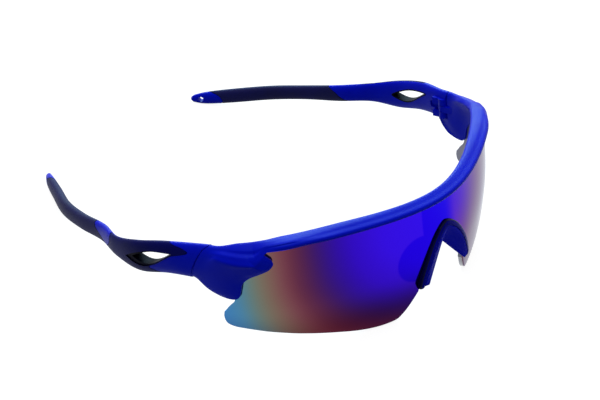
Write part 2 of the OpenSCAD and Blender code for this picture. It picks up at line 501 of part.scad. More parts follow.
// The lanyard hole runs square through the thin way of each tip
hole_u = temple_len - 3.6;
hole_row = smooth(temple_rows, hole_u);
hole_turn = atan(smooth(temple_rows, hole_u - 0.5)[1] - smooth(temple_rows, hole_u + 0.5)[1]);
module lanyard_hole() translate([hinge_x + hole_row[1], hinge_y + hole_u, hole_row[2]])
    rotate([0, 90, hole_turn]) cylinder(h = 14, r = lanyard_r, center = true, $fn = 40);
ears = [ear_low, ear_high];
module temple_core(side) color([0.06, 0.16, 0.75]) left_or_right(side)
    difference() {
        union() {
            difference() {
                skin([for (i = [0 : len(core_stations(0)) - 1]) [for (j = [0 : ring_n - 1])
                    let (q = core_stations(j)[i]) temple_point(q[0], turn(j), q[1])]]);
                difference() {
                    seam_block(1, -20, seam_gap / 2);
                    on_hinge(1, [ear_high[0], 6], knuckle_r);
                }
            }
            for (span = ears) {
                on_hinge(1, span, knuckle_r);
                by_hinge(1, [-knuckle_r + 0.8, 1.9], [0, 4.4], span);
            }
        }
        on_hinge(1, widen(tongue, knuckle_gap), relief_r);
        by_hinge(1, [-6, -0.2], [-4, relief_r], widen(tongue, knuckle_gap));
        by_hinge(1, [-6, 1.4], [relief_r - 0.6, 6.5], widen(tongue, knuckle_gap));
        on_hinge(1, [barrel[0] - 0.5, barrel[1] + 0.1], screw_r + screw_fit);
        on_hinge(1, [barrel[0] - 2, barrel[0] + head_h + screw_fit], screw_head_r + screw_fit);
        slot_prism(slot_rim + skin_fit);
        lanyard_hole();
    }

// The inlay: a patch of skin on the outside of the temple, with a rim that lines the slot
inlay_js = [for (j = [15 : 25]) j % ring_n];
function inlay_ring(i, inset) = [for (j = inlay_js)
    temple_point(mix(inlay_front(j) + step_l, inlay_rear(j) - step_l, i / inlay_steps), turn(j), inset)];
module slot_inlay(side) color([0.01, 0.01, 0.1]) left_or_right(side)
    difference() {
        union() {
            skin([for (i = [0 : inlay_steps]) concat(inlay_ring(i, 0), reversed(inlay_ring(i, inlay_t)))],
                turned = [9999, len(inlay_js)], thin = true);
            intersection() {
                slot_prism(slot_rim);
                body_at_slot(0.04);
            }
        }
        slot_prism(0);
        difference() {
            leaf_prism(slot_len + pocket_longer, slot_h + pocket_taller, 0, 0);
            body_at_slot(pocket_depth);
        }
    }

// The ear sock: a rubber sleeve over the sunk part of the core
function sock_ring(i, inset) = [for (j = [0 : ring_n - 1]) let (a = turn(j), e = step_l + skin_fit)
    temple_point(mix(sock_start(a) + e, sock_rear(a) - e, i / sock_steps), a, inset)];
module ear_sock(side) color([0.12, 0.12, 0.3]) left_or_right(side)
    skin(concat([for (i = [0 : sock_steps]) sock_ring(i, 0)],
            [for (i = [sock_steps : -1 : 0]) sock_ring(i, sock_t)]),
        closed = true, turned = [sock_steps + 1, 9999]);

// Slotted screw, driven in from below
module hinge_screw(side) color([0.7, 0.7, 0.72]) difference() {
    union() {
        on_hinge(side, [barrel[0] + head_h, barrel[1] - 0.3], screw_r);
        on_hinge(side, [barrel[0], barrel[0] + head_h], screw_head_r);
    }
    translate([side * hinge_x, hinge_y, barrel[0]]) cube([3 * screw_head_r, 0.4, 0.6], center = true);
}

// Resting pose: the lens and the temple tips both touch the ground
lens_feet = [for (w = [notch_cols : lens_cols], d = [0, -lens_t])
    let (c = lens_column(w)) on_shell(c[0], c[1], d)];
tip_feet = [for (i = [0 : 30], j = [12 : 17]) temple_point(mix(0.68, 1, i / 30) * temple_len, turn(j), 0)];
function tipped_z(p, t) = cos(t) * p[2] - sin(t) * p[1];
function lowest(points, t) = min([for (p = points) tipped_z(p, t)]);
function settle(a, b, n) = let (m = (a + b) / 2) n == 0 ? m
    : lowest(lens_feet, m) < lowest(tip_feet, m) ? settle(m, b, n - 1) : settle(a, m, n - 1);
rest_pitch = settle(0, 30, 24);
function tipped_y(p) = cos(rest_pitch) * p[1] + sin(rest_pitch) * p[2];
clip_foot_points = [for (p = clip_section(arch_from)) beside_arch(arch_from, p[0], p[1])];
saddle_points = [for (i = [0 : saddle_cols]) each saddle_ring(mix(arch_from, 90, i / saddle_cols))];
front_points = concat(lens_feet, saddle_points, column_points(0, 1), clip_foot_points);
front_y = min([for (p = front_points) tipped_y(p)]);
back_points = [for (j = [0 : ring_n - 1], q = [[0, 1], [0.3, 0.45]])
    temple_point(temple_len - q[0], turn(j), q[1])];
back_y = max([for (p = back_points) tipped_y(p)]);
ground_z = lowest(lens_feet, rest_pitch);
module stand() translate([0, -(front_y + back_y) / 2, -ground_z]) rotate([-rest_pitch, 0, 0]) children();

stand() brow_frame();
stand() shield_lens();
stand() nose_clip();
stand() nose_saddle();
stand() temple_core(-1);  // temple_core_right
stand() temple_core(1);  // temple_core_left
stand() slot_inlay(-1);  // slot_inlay_right
stand() slot_inlay(1);  // slot_inlay_left
stand() ear_sock(-1);  // ear_sock_right
stand() ear_sock(1);  // ear_sock_left
stand() hinge_screw(-1);  // hinge_screw_right
stand() hinge_screw(1);  // hinge_screw_left
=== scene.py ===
# Sports sunglasses: a blue half-rim wrap frame, a mirrored shield lens and rubber-covered temples.
# Every shape is worked out as worn, in millimetres: x to the wearer's left, the front towards -y, z up.
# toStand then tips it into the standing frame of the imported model, in metres.
import json
import math
import bmesh
import bpy
import numpy as np
from mathutils import Matrix, Vector


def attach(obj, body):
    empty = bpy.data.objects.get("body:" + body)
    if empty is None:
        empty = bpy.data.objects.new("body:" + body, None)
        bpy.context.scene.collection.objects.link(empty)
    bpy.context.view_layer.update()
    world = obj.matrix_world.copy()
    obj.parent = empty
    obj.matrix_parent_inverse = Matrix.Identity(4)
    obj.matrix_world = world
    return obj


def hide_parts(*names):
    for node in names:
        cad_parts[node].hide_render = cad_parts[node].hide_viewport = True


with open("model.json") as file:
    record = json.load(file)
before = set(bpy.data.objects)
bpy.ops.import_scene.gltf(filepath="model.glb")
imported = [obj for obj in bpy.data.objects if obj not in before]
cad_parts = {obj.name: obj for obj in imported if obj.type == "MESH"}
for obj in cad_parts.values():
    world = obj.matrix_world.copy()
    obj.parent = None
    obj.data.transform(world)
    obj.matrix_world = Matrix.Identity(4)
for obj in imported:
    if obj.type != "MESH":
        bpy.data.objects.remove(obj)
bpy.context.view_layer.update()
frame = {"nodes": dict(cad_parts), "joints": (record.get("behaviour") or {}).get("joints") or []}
print("frame loaded:", len(frame["nodes"]), "nodes")
millimetre = 0.001


# Helpers for smooth numbers

def mix(a, b, t):
    # A straight line from a, where t is 0, to b, where t is 1
    return a * (1 - t) + b * t


def ease(a, b, t):
    # 0 up to a and 1 from b on. Between them it is u u (3 - 2u), where u is the share of the way.
    u = np.clip((t - a) / (b - a), 0, 1)
    return u * u * (3 - 2 * u)


def power(v, n):
    # The size of v to the power n, with v's own sign
    return np.sign(v) * np.abs(v) ** n


def smoothRows(rows, t):
    # Cubic through rows [t, value, ...]: the slope at each row is that of the line between its neighbours
    rows = np.asarray(rows, float)
    t = np.asarray(t, float)
    place = np.arange(len(rows))
    before = np.maximum(place - 1, 0)
    after = np.minimum(place + 1, len(rows) - 1)
    slope = (rows[after] - rows[before]) / (rows[after, 0] - rows[before, 0])[:, None]
    i = np.clip(np.searchsorted(rows[:, 0], t, side="right") - 1, 0, len(rows) - 2)
    h = (rows[i + 1, 0] - rows[i, 0])[..., None]
    u = (t - rows[i, 0])[..., None] / h
    return (rows[i] * (1 + 2 * u) * (1 - u) ** 2 + rows[i + 1] * u * u * (3 - 2 * u)
            + (slope[i] * u * (1 - u) ** 2 - slope[i + 1] * u * u * (1 - u)) * h)


def smoothRings(rings, perSpan, closed=False):
    # Cubic through each ring's points, with the chords as its parameter, so that it rounds every corner
    if closed:
        padded = np.concatenate([rings[:, -1:], rings, rings[:, :2]], axis=1)
    else:
        padded = np.concatenate([2 * rings[:, :1] - rings[:, 1:2], rings,
                                 2 * rings[:, -1:] - rings[:, -2:-1]], axis=1)
    chord = np.maximum(np.linalg.norm(np.diff(padded, axis=1), axis=2), 1e-4)[..., None]
    slope = (padded[:, 2:] - padded[:, :-2]) / (chord[:, 1:] + chord[:, :-1])
    h = chord[:, 1:-1, None]
    u = (np.arange(perSpan) / perSpan)[None, None, :, None]
    a, b = padded[:, 1:-2, None], padded[:, 2:-1, None]
    slopeA, slopeB = slope[:, :-1, None], slope[:, 1:, None]
    curve = (a * (1 + 2 * u) * (1 - u) ** 2 + b * u * u * (3 - 2 * u)
             + (slopeA * u * (1 - u) ** 2 - slopeB * u * u * (1 - u)) * h)
    curve = curve.reshape(len(rings), -1, rings.shape[2])
    return curve if closed else np.concatenate([curve, rings[:, -1:]], axis=1)


# The wrap curve, seen from above, and the lens shell that stands on it

wrapCurve = {"browRadius": 49.5, "browHalf": 16, "sideRadius": 160, "cornerRadius": 19.5, "cornerAt": 68,
             "cornerHalf": 8.8, "bowRadius": 165, "bowCentre": 1, "bulge": 1.4, "bulgeHalf": 18,
             "bulgeSpan": (4, 24), "end": 110, "step": 0.1}


def wrapBend(s):
    # The side's curvature, plus a bell of tighter bend at the middle and one at the corner, then straight
    w = wrapCurve
    side = 1 / w["sideRadius"]
    bend = (side + (1 / w["browRadius"] - side) * np.exp(-(s / w["browHalf"]) ** 2)
            + (1 / w["cornerRadius"] - side) * np.exp(-((s - w["cornerAt"]) / w["cornerHalf"]) ** 2))
    return np.where(s > w["cornerAt"] + 2 * w["cornerHalf"], 0, bend)


# The turn is the running sum of the bend, and x and y are those of the turn's cosine and sine
wrapS = np.arange(0, wrapCurve["end"] + wrapCurve["step"], wrapCurve["step"])
wrapTurn = wrapCurve["step"] * (np.cumsum(wrapBend(wrapS)) - wrapBend(np.array(0.0)) / 2)
wrapX = np.concatenate([[0], np.cumsum(wrapCurve["step"] * np.cos(wrapTurn))[:-1]])
wrapY = np.concatenate([[0], np.cumsum(wrapCurve["step"] * np.sin(wrapTurn))[:-1]])


def bow(z):
    # The shell's upright section is an arc: the height from its centre squared, over twice its radius
    centre = wrapCurve["bowCentre"]
    return ((z - centre) ** 2 - centre ** 2) / (2 * wrapCurve["bowRadius"])


def noseBulge(s, z):
    # Round the nose the shell stands further forward: a bell along the wrap, eased in on the way down
    bell = np.exp(-(s / wrapCurve["bulgeHalf"]) ** 2)
    return wrapCurve["bulge"] * ease(*wrapCurve["bulgeSpan"], -z) * bell


def onShell(s, z, e):
    # A point of the shell: s along the wrap, z up, and e out along the wrap's own normal
    a = np.abs(s)
    turn = np.interp(a, wrapS, wrapTurn)
    x = np.interp(a, wrapS, wrapX) + e * np.sin(turn)
    y = np.interp(a, wrapS, wrapY) - e * np.cos(turn) + bow(z) - noseBulge(a, z)
    return np.stack(np.broadcast_arrays(np.where(s < 0, -x, x), y, z), axis=-1)


# The hinges, and the way into the standing frame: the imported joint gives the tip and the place

hinge = {"at": 87.2, "inset": 2.2, "height": -5.2, "knuckleR": 2.1, "knuckleH": 2.4, "screwR": 0.75,
         "headR": 1.3, "headH": 0.75, "gap": 0.15, "relief": 0.25, "seamGap": 0.3, "seamLean": 0.44,
         "seamSkew": 0.35, "seamBack": 0.3, "seamOut": 3.3, "seamBlend": 7}
hingeTurn = np.interp(hinge["at"], wrapS, wrapTurn)
hingeX = float(np.interp(hinge["at"], wrapS, wrapX) - hinge["inset"] * math.sin(hingeTurn))
hingeY = float(np.interp(hinge["at"], wrapS, wrapY) + hinge["inset"] * math.cos(hingeTurn))
barrelHalf = 1.5 * hinge["knuckleH"] + hinge["gap"]
barrel = (hinge["height"] - barrelHalf, hinge["height"] + barrelHalf)
earLow = (barrel[0], barrel[0] + hinge["knuckleH"])
earHigh = (barrel[1] - hinge["knuckleH"], barrel[1])
tongue = (hinge["height"] - hinge["knuckleH"] / 2, hinge["height"] + hinge["knuckleH"] / 2)
reliefR = hinge["knuckleR"] + hinge["relief"]

leftJoint = [j for j in frame["joints"] if j["child"] == "temple_left"][0]
tip = math.atan2(leftJoint["axis"][1], leftJoint["axis"][2])
toStand = (Matrix.Translation(Vector(leftJoint["pos_m"])) @ Matrix.Rotation(-tip, 4, "X")
           @ Matrix.Scale(millimetre, 4) @ Matrix.Translation((-hingeX, -hingeY, -hinge["height"])))


def seamY(x, z):
    # The seam between frame and temple is a flat cut that leans back towards its foot and forward inwards
    return (hingeY - hinge["seamBack"] - hinge["seamLean"] * z
            + hinge["seamSkew"] * (np.abs(x) - hingeX - hinge["seamOut"]))


# Making meshes

def makePiece(name, vertices, faces, uv=None):
    # Vertices, faces and their UVs become a mesh object that faces outwards
    mesh = bpy.data.meshes.new(name)
    mesh.from_pydata(np.asarray(vertices, float).tolist(), [], faces)
    mesh.validate()
    if uv is not None:
        corner = np.zeros(len(mesh.loops), np.int32)
        mesh.loops.foreach_get("vertex_index", corner)
        layer = mesh.uv_layers.new(name="UVMap")
        layer.data.foreach_set("uv", np.asarray(uv, np.float32)[corner].ravel())
    turnOutwards(mesh)
    piece = bpy.data.objects.new(name, mesh)
    bpy.context.scene.collection.objects.link(piece)
    return piece


def turnOutwards(mesh):
    # A closed mesh with a negative volume is inside out, so its faces are turned round
    shape = bmesh.new()
    shape.from_mesh(mesh)
    if shape.calc_volume(signed=True) < 0:
        mesh.flip_normals()
    shape.free()


def gridPiece(name, grid, caps="whole", uv=None):
    # Quads between neighbouring rings of a grid of points, each ring closed on itself. Caps are one face
    # ("whole") or a strip between the two faces of a thin skin ("strip"), or the last ring joins the first
    # ("none").
    n, k = grid.shape[:2]
    index = np.arange(n * k).reshape(n, k)
    rows = np.concatenate([index, index[:1]]) if caps == "none" else index
    across = np.roll(rows, -1, axis=1)
    quads = np.stack([rows[:-1], across[:-1], across[1:], rows[1:]], axis=-1).reshape(-1, 4)
    faces = quads.tolist()
    if caps == "whole":
        faces += [index[0][::-1].tolist(), index[-1].tolist()]
    elif caps == "strip":
        for ring, flip in ((index[0], 1), (index[-1], -1)):
            front, back = ring[:k // 2], ring[::-1][:k // 2]
            strip = np.stack([front[1:], front[:-1], back[:-1], back[1:]], axis=-1)
            faces += strip[:, ::flip].tolist()
    return makePiece(name, grid.reshape(-1, 3), faces, uv if uv is None else uv.reshape(-1, 2))


def prismPiece(name, outline, low, high):
    # An outline of points in x and y, drawn up from low to high
    outline = np.asarray(outline, float)
    ring = [np.column_stack([outline, np.full(len(outline), z)]) for z in (low, high)]
    return gridPiece(name, np.stack(ring))


def circle(x, y, r, sides=64):
    # Points at equal angles: r times the cosine and the sine
    angle = np.arange(sides) / sides * 2 * math.pi
    return np.column_stack([x + r * np.cos(angle), y + r * np.sin(angle)])


def hingePost(side, span, r):
    # A round post on the hinge's axis
    return prismPiece("post", circle(side * hingeX, hingeY, r), *span)


def hingeBlock(side, x, y, z):
    # A block beside the hinge axis, x outwards and y backwards from it
    xs = sorted((side * (hingeX + x[0]), side * (hingeX + x[1])))
    ys = (hingeY + y[0], hingeY + y[1])
    outline = [(xs[0], ys[0]), (xs[1], ys[0]), (xs[1], ys[1]), (xs[0], ys[1])]
    return prismPiece("block", outline, *z)


def seamBlock(side, start, stop):
    # A slab that follows the seam, from start to stop millimetres behind it, drawn in x and z
    x, z = np.array([(54, -26), (76, -26), (76, 9), (54, 9)], float).T
    rings = [np.column_stack([side * x, seamY(x, z) + d, z]) for d in (start, stop)]
    return gridPiece("slab", np.stack(rings))


def combine(piece, tools, operation):
    # Cuts the tools out of the piece, or joins or keeps them, and throws the tools away
    folder = bpy.data.collections.new("tools")
    for tool in tools:
        folder.objects.link(tool)
    change = piece.modifiers.new("combine", "BOOLEAN")
    change.operation = operation
    change.solver = "MANIFOLD"
    change.operand_type = "COLLECTION"
    change.collection = folder
    applyModifiers(piece)
    for tool in tools:
        bpy.data.objects.remove(tool)
    bpy.data.collections.remove(folder)
    return piece


def applyModifiers(piece):
    # The mesh that the modifiers give takes the place of the piece's own
    shaped = piece.evaluated_get(bpy.context.evaluated_depsgraph_get())
    mesh = bpy.data.meshes.new_from_object(shaped)
    piece.modifiers.clear()
    old = piece.data
    piece.data = mesh
    bpy.data.meshes.remove(old)


edgeAngles = {"soften": 40, "sharp": 38}  # degrees past which an edge is rounded, or is shown sharp


def softenEdges(piece, width, segments):
    # Rounds the edges of a piece before it is finished
    soften = piece.modifiers.new("soften", "BEVEL")
    soften.width = width
    soften.segments = segments
    soften.limit_method = "ANGLE"
    soften.angle_limit = math.radians(edgeAngles["soften"])
    applyModifiers(piece)


def finishPiece(piece, body, nodes, materials):
    # Into the standing frame, smooth shading broken at sharp edges, then its place, stand-in and finish
    piece.data.transform(toStand)
    piece.data.shade_smooth()
    piece.data.set_sharp_from_angle(angle=math.radians(edgeAngles["sharp"]))
    place = np.zeros(len(piece.data.polygons), np.int32)
    piece.data.polygons.foreach_get("material_index", place)
    piece.data.materials.clear()
    for material in materials:
        piece.data.materials.append(material)
    piece.data.polygons.foreach_set("material_index", np.minimum(place, len(materials) - 1))
    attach(piece, body)
    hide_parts(*nodes)
    print("made", piece.name, len(piece.data.polygons), "faces")
    return piece


# Materials. One shared group first: fine moulded grain over a slow waviness.

def addSocket(group, name, way, kind, value=None):
    # One input or output of a node group
    socket = group.interface.new_socket(name=name, in_out=way, socket_type=kind)
    if value is not None:
        socket.default_value = value
    return socket


def mouldedGrain():
    # Fine grain and a slow waviness, read from Object coordinates: puts out a height and a slow mask
    group = bpy.data.node_groups.new("mouldedGrain", "ShaderNodeTree")
    addSocket(group, "Grain Scale", "INPUT", "NodeSocketFloat", 4000)
    addSocket(group, "Wave Scale", "INPUT", "NodeSocketFloat", 60)
    addSocket(group, "Wave Share", "INPUT", "NodeSocketFloat", 0.3)
    addSocket(group, "Height", "OUTPUT", "NodeSocketFloat")
    addSocket(group, "Mask", "OUTPUT", "NodeSocketFloat")
    nodes, links = group.nodes, group.links
    entry, result = nodes.new("NodeGroupInput"), nodes.new("NodeGroupOutput")
    place = nodes.new("ShaderNodeTexCoord")
    grain, wave = nodes.new("ShaderNodeTexNoise"), nodes.new("ShaderNodeTexNoise")
    grain.inputs["Detail"].default_value = 3
    wave.inputs["Detail"].default_value = 2
    for noise, scale in ((grain, "Grain Scale"), (wave, "Wave Scale")):
        links.new(place.outputs["Object"], noise.inputs["Vector"])
        links.new(entry.outputs[scale], noise.inputs["Scale"])
    blend = nodes.new("ShaderNodeMix")
    blend.data_type = "FLOAT"
    links.new(entry.outputs["Wave Share"], blend.inputs["Factor"])
    links.new(grain.outputs["Fac"], blend.inputs["A"])
    links.new(wave.outputs["Fac"], blend.inputs["B"])
    links.new(blend.outputs["Result"], result.inputs["Height"])
    links.new(wave.outputs["Fac"], result.inputs["Mask"])
    return group


grainGroup = mouldedGrain()


def srgb(red, green, blue):
    # A colour as a screen shows it, 0 to 255, to the linear values that a shader takes
    values = np.array([red, green, blue]) / 255
    linear = np.where(values <= 0.04045, values / 12.92, ((values + 0.055) / 1.055) ** 2.4)
    return (*linear.tolist(), 1)


def plasticMaterial(name, look):
    # Moulded plastic or rubber: two close colours over the waves, roughness that varies, and fine grain
    material = bpy.data.materials.new(name)
    material.use_nodes = True
    nodes, links = material.node_tree.nodes, material.node_tree.links
    shader = nodes["Principled BSDF"]
    grain = nodes.new("ShaderNodeGroup")
    grain.node_tree = grainGroup
    grain.inputs["Grain Scale"].default_value = look["grainScale"]
    grain.inputs["Wave Scale"].default_value = look["waveScale"]
    grain.inputs["Wave Share"].default_value = look["waveShare"]
    colour = nodes.new("ShaderNodeValToRGB")
    colour.color_ramp.elements[0].position = 0.3
    colour.color_ramp.elements[0].color = srgb(*look["dark"])
    colour.color_ramp.elements[1].position = 0.7
    colour.color_ramp.elements[1].color = srgb(*look["light"])
    links.new(grain.outputs["Mask"], colour.inputs["Fac"])
    links.new(colour.outputs["Color"], shader.inputs["Base Color"])
    rough = nodes.new("ShaderNodeMapRange")
    rough.inputs["From Min"].default_value = 0.3
    rough.inputs["From Max"].default_value = 0.7
    rough.inputs["To Min"].default_value = look["rough"][0]
    rough.inputs["To Max"].default_value = look["rough"][1]
    links.new(grain.outputs["Height"], rough.inputs["Value"])
    links.new(rough.outputs["Result"], shader.inputs["Roughness"])
    bump = nodes.new("ShaderNodeBump")
    bump.inputs["Strength"].default_value = look["bump"]
    bump.inputs["Distance"].default_value = look["bumpDepth"]
    links.new(grain.outputs["Height"], bump.inputs["Height"])
    links.new(bump.outputs["Normal"], shader.inputs["Normal"])
    shader.inputs["Specular IOR Level"].default_value = look["specular"]
    shader.inputs["Specular Tint"].default_value = (*look.get("tint", (1, 1, 1)), 1)
    shader.inputs["Coat Weight"].default_value = look.get("coat", 0)
    shader.inputs["Coat Roughness"].default_value = look.get("coatRough", 0.03)
    shader.inputs["Metallic"].default_value = look.get("metal", 0)
    return material


frameLook = {"dark": (0, 7, 196), "light": (0, 14, 206), "rough": (0.36, 0.46), "bump": 0.12,
             "bumpDepth": 0.00002, "grainScale": 5200, "waveScale": 90, "waveShare": 0.25, "specular": 0.09,
             "tint": (0.38, 0.82, 1)}
sockLook = {"dark": (8, 9, 60), "light": (12, 13, 72), "rough": (0.5, 0.66), "bump": 0.35,
            "bumpDepth": 0.00003, "grainScale": 3600, "waveScale": 120, "waveShare": 0.2, "specular": 0.14,
            "tint": (0.7, 0.72, 1)}
inlayLook = {"dark": (1, 3, 74), "light": (3, 6, 90), "rough": (0.4, 0.55), "bump": 0.25,
             "bumpDepth": 0.00003, "grainScale": 4200, "waveScale": 110, "waveShare": 0.2, "specular": 0.06,
             "tint": (0.6, 0.65, 1)}
# The clip's near black: on the lap's side walls it is painted shade
clipLook = {"dark": (2, 2, 44), "light": (3, 3, 58), "rough": (0.26, 0.36), "bump": 0.05,
            "bumpDepth": 0.00002, "grainScale": 5000, "waveScale": 140, "waveShare": 0.4, "specular": 0.1,
            "tint": (0.4, 0.45, 1)}
saddleLook = {"dark": (3, 8, 186), "light": (6, 14, 202), "rough": (0.5, 0.64), "bump": 0.3,
              "bumpDepth": 0.00003, "grainScale": 3800, "waveScale": 130, "waveShare": 0.25, "specular": 0.06,
              "tint": (0.25, 0.3, 1)}
# The pocket behind the slot and the slot's walls: near black, painted shade of the recess
pocketShadeLook = {**inlayLook, "dark": (0, 0, 14), "light": (1, 1, 22), "specular": 0.03}
clipNavyLook = {**clipLook, "dark": (2, 4, 146), "light": (4, 7, 160), "specular": 0.02}
frameBlue = plasticMaterial("frameBlue", frameLook)
sockRubber = plasticMaterial("sockRubber", sockLook)
inlayRubber = plasticMaterial("inlayRubber", inlayLook)
pocketShade = plasticMaterial("pocketShade", pocketShadeLook)
clipBlackShade = plasticMaterial("clipBlackShade", clipLook)
clipNavy = plasticMaterial("clipNavy", clipNavyLook)
saddleRubber = plasticMaterial("saddleRubber", saddleLook)

# The mirror's colour follows how far a point lies from the middle of the brow: along the wrap against
# reach[0] and down against reach[1], joined as the radius of a superellipse. The left side of the lens,
# which the light meets from the other side, turns sooner: its own ramp, mixed in over the blend, is the
# coating's colour with the change that this light brings painted in.
# Its last keys paint a reflection of a darker part of the room: a purer blue over the near half's middle,
# with a lobe beside the nose.
mirrorLook = {"reach": (44, 33.5), "power": 2.3, "span": 2.1, "blend": 7, "mottle": 0.05, "mottleScale": 45,
              "rough": (0.09, 0.14), "edgeTint": (0.62, 0.6, 0.75), "deepTint": (0.6, 0.32, 0.42),
              "deepSpan": (20, 35), "reflectionEdge": (-11, -10.2), "lobeCentre": (-12.4, 18.4),
              "lobeHalf": (8.9, 7.9), "lobeEdge": (1.05, 0.95), "reflectionTint": (0.39, 0.08, 0.96)}
nearColours = [(0.0, (45, 10, 226)), (0.6, (50, 14, 212)), (0.85, (46, 10, 180)), (1.0, (44, 15, 140)),
               (1.15, (56, 24, 84)), (1.3, (92, 40, 60)), (1.42, (118, 66, 76)), (1.55, (116, 104, 84)),
               (1.66, (88, 118, 114)), (1.76, (66, 122, 156)), (1.9, (58, 116, 172))]
farColours = [(0.0, (55, 16, 216)), (0.31, (80, 32, 198)), (0.52, (102, 50, 150)), (0.72, (118, 66, 104)),
              (0.95, (116, 84, 78)), (1.25, (108, 100, 84)), (1.55, (86, 116, 112)), (1.82, (58, 114, 168))]
uvPerMillimetre = 0.01


def mathNode(tree, operation, *values):
    # A maths node whose inputs are the given numbers or sockets
    node = tree.nodes.new("ShaderNodeMath")
    node.operation = operation
    for i, value in enumerate(values):
        if isinstance(value, (int, float)):
            node.inputs[i].default_value = value
        else:
            tree.links.new(value, node.inputs[i])
    return node.outputs[0]


def smoothStep(tree, value, low, high):
    # 0 where the value is low, 1 where it is high, with no corner between
    step = tree.nodes.new("ShaderNodeMapRange")
    step.interpolation_type = "SMOOTHSTEP"
    step.inputs["From Min"].default_value = low
    step.inputs["From Max"].default_value = high
    tree.links.new(value, step.inputs["Value"])
    return step.outputs["Result"]


def mixColours(tree, factor, first, second, way="MIX"):
    # The first colour turns into the second, or is multiplied by it, as the factor goes from 0 to 1
    node = tree.nodes.new("ShaderNodeMix")
    node.data_type = "RGBA"
    node.blend_type = way
    tree.links.new(factor, node.inputs["Factor"])
    for socket, colour in zip([s for s in node.inputs if s.type == "RGBA"], (first, second)):
        if isinstance(colour, tuple):
            socket.default_value = (*colour, 1)
        else:
            tree.links.new(colour, socket)
    return [s for s in node.outputs if s.type == "RGBA"][0]


def colourRamp(tree, value, colours):
    # A smooth ramp through colours placed along 0 to mirrorLook["span"]
    ramp = tree.nodes.new("ShaderNodeValToRGB")
    ramp.color_ramp.interpolation = "B_SPLINE"
    for i, (at, colour) in enumerate(colours):
        place = at / mirrorLook["span"]
        stop = ramp.color_ramp.elements[i] if i < 2 else ramp.color_ramp.elements.new(place)
        stop.position = place
        stop.color = srgb(*colour)
    tree.links.new(value, ramp.inputs["Fac"])
    return ramp.outputs["Color"]


def mirrorMaterial():
    # A metal coating whose colour comes from two ramps over the lens's own UV, with a faint slow mottle and a
    # painted reflection of a darker part of the room
    material = bpy.data.materials.new("mirrorLens")
    material.use_nodes = True
    tree = material.node_tree
    shader = tree.nodes["Principled BSDF"]
    grain = tree.nodes.new("ShaderNodeGroup")
    grain.node_tree = grainGroup
    grain.inputs["Wave Scale"].default_value = mirrorLook["mottleScale"]
    place = tree.nodes.new("ShaderNodeUVMap")
    place.uv_map = "UVMap"
    split = tree.nodes.new("ShaderNodeSeparateXYZ")
    tree.links.new(place.outputs["UV"], split.inputs[0])
    along = mathNode(tree, "ABSOLUTE", split.outputs["X"])
    terms = []
    for value, reach in ((along, mirrorLook["reach"][0]), (split.outputs["Y"], mirrorLook["reach"][1])):
        share = mathNode(tree, "MULTIPLY", value, 1 / (reach * uvPerMillimetre))
        terms.append(mathNode(tree, "POWER", mathNode(tree, "MAXIMUM", share, 0.0), mirrorLook["power"]))
    radius = mathNode(tree, "POWER", mathNode(tree, "ADD", *terms), 1 / mirrorLook["power"])
    mottle = mathNode(tree, "SUBTRACT", grain.outputs["Mask"], 0.5)
    radius = mathNode(tree, "MULTIPLY_ADD", mottle, mirrorLook["mottle"], radius)
    fac = mathNode(tree, "MULTIPLY", radius, 1 / mirrorLook["span"])
    side = smoothStep(tree, split.outputs["X"], 0, mirrorLook["blend"] * uvPerMillimetre)
    colour = mixColours(tree, side, colourRamp(tree, fac, nearColours), colourRamp(tree, fac, farColours))
    deepFrom, deepTo = (v * uvPerMillimetre for v in mirrorLook["deepSpan"])
    deep = smoothStep(tree, split.outputs["Y"], deepFrom, deepTo)
    colour = mixColours(tree, deep, colour, mirrorLook["deepTint"], "MULTIPLY")
    # Painted reflection of a darker part of the room: the near half's middle is multiplied to a purer blue,
    # with a lobe beside the nose
    terms = []
    for axis, centre, half in zip("XY", mirrorLook["lobeCentre"], mirrorLook["lobeHalf"]):
        scale = 1 / (half * uvPerMillimetre)
        off = mathNode(tree, "MULTIPLY_ADD", split.outputs[axis], scale, -centre / half)
        terms.append(mathNode(tree, "MULTIPLY", off, off))
    lobe = smoothStep(tree, mathNode(tree, "SQRT", mathNode(tree, "ADD", *terms)), *mirrorLook["lobeEdge"])
    reflectionFrom, reflectionTo = (v * uvPerMillimetre for v in mirrorLook["reflectionEdge"])
    darkReflection = mathNode(tree, "MAXIMUM", smoothStep(tree, split.outputs["X"], reflectionFrom, reflectionTo), lobe)
    darkReflection = mathNode(tree, "MULTIPLY", darkReflection, mathNode(tree, "SUBTRACT", 1.0, side))
    colour = mixColours(tree, darkReflection, colour, mirrorLook["reflectionTint"], "MULTIPLY")
    tree.links.new(colour, shader.inputs["Base Color"])
    rough = tree.nodes.new("ShaderNodeMapRange")
    rough.inputs["From Min"].default_value = 0.3
    rough.inputs["From Max"].default_value = 0.7
    rough.inputs["To Min"].default_value = mirrorLook["rough"][0]
    rough.inputs["To Max"].default_value = mirrorLook["rough"][1]
    tree.links.new(grain.outputs["Mask"], rough.inputs["Value"])
    tree.links.new(rough.outputs["Result"], shader.inputs["Roughness"])
    shader.inputs["Metallic"].default_value = 1.0
    shader.inputs["Specular Tint"].default_value = (*mirrorLook["edgeTint"], 1)
    return material


# The lens's inner face: clear lilac grey under a gloss, with the faintest mottle of wiping
lensBackLook = {"dark": (132, 132, 158), "light": (150, 150, 176), "rough": (0.16, 0.22), "bump": 0.02,
                "bumpDepth": 0.00001, "grainScale": 3000, "waveScale": 40, "waveShare": 0.6, "specular": 0.5,
                "coat": 0.6, "coatRough": 0.05}
mirrorLens = mirrorMaterial()
lensBack = plasticMaterial("lensBack", lensBackLook)
print("materials made")

# The lens

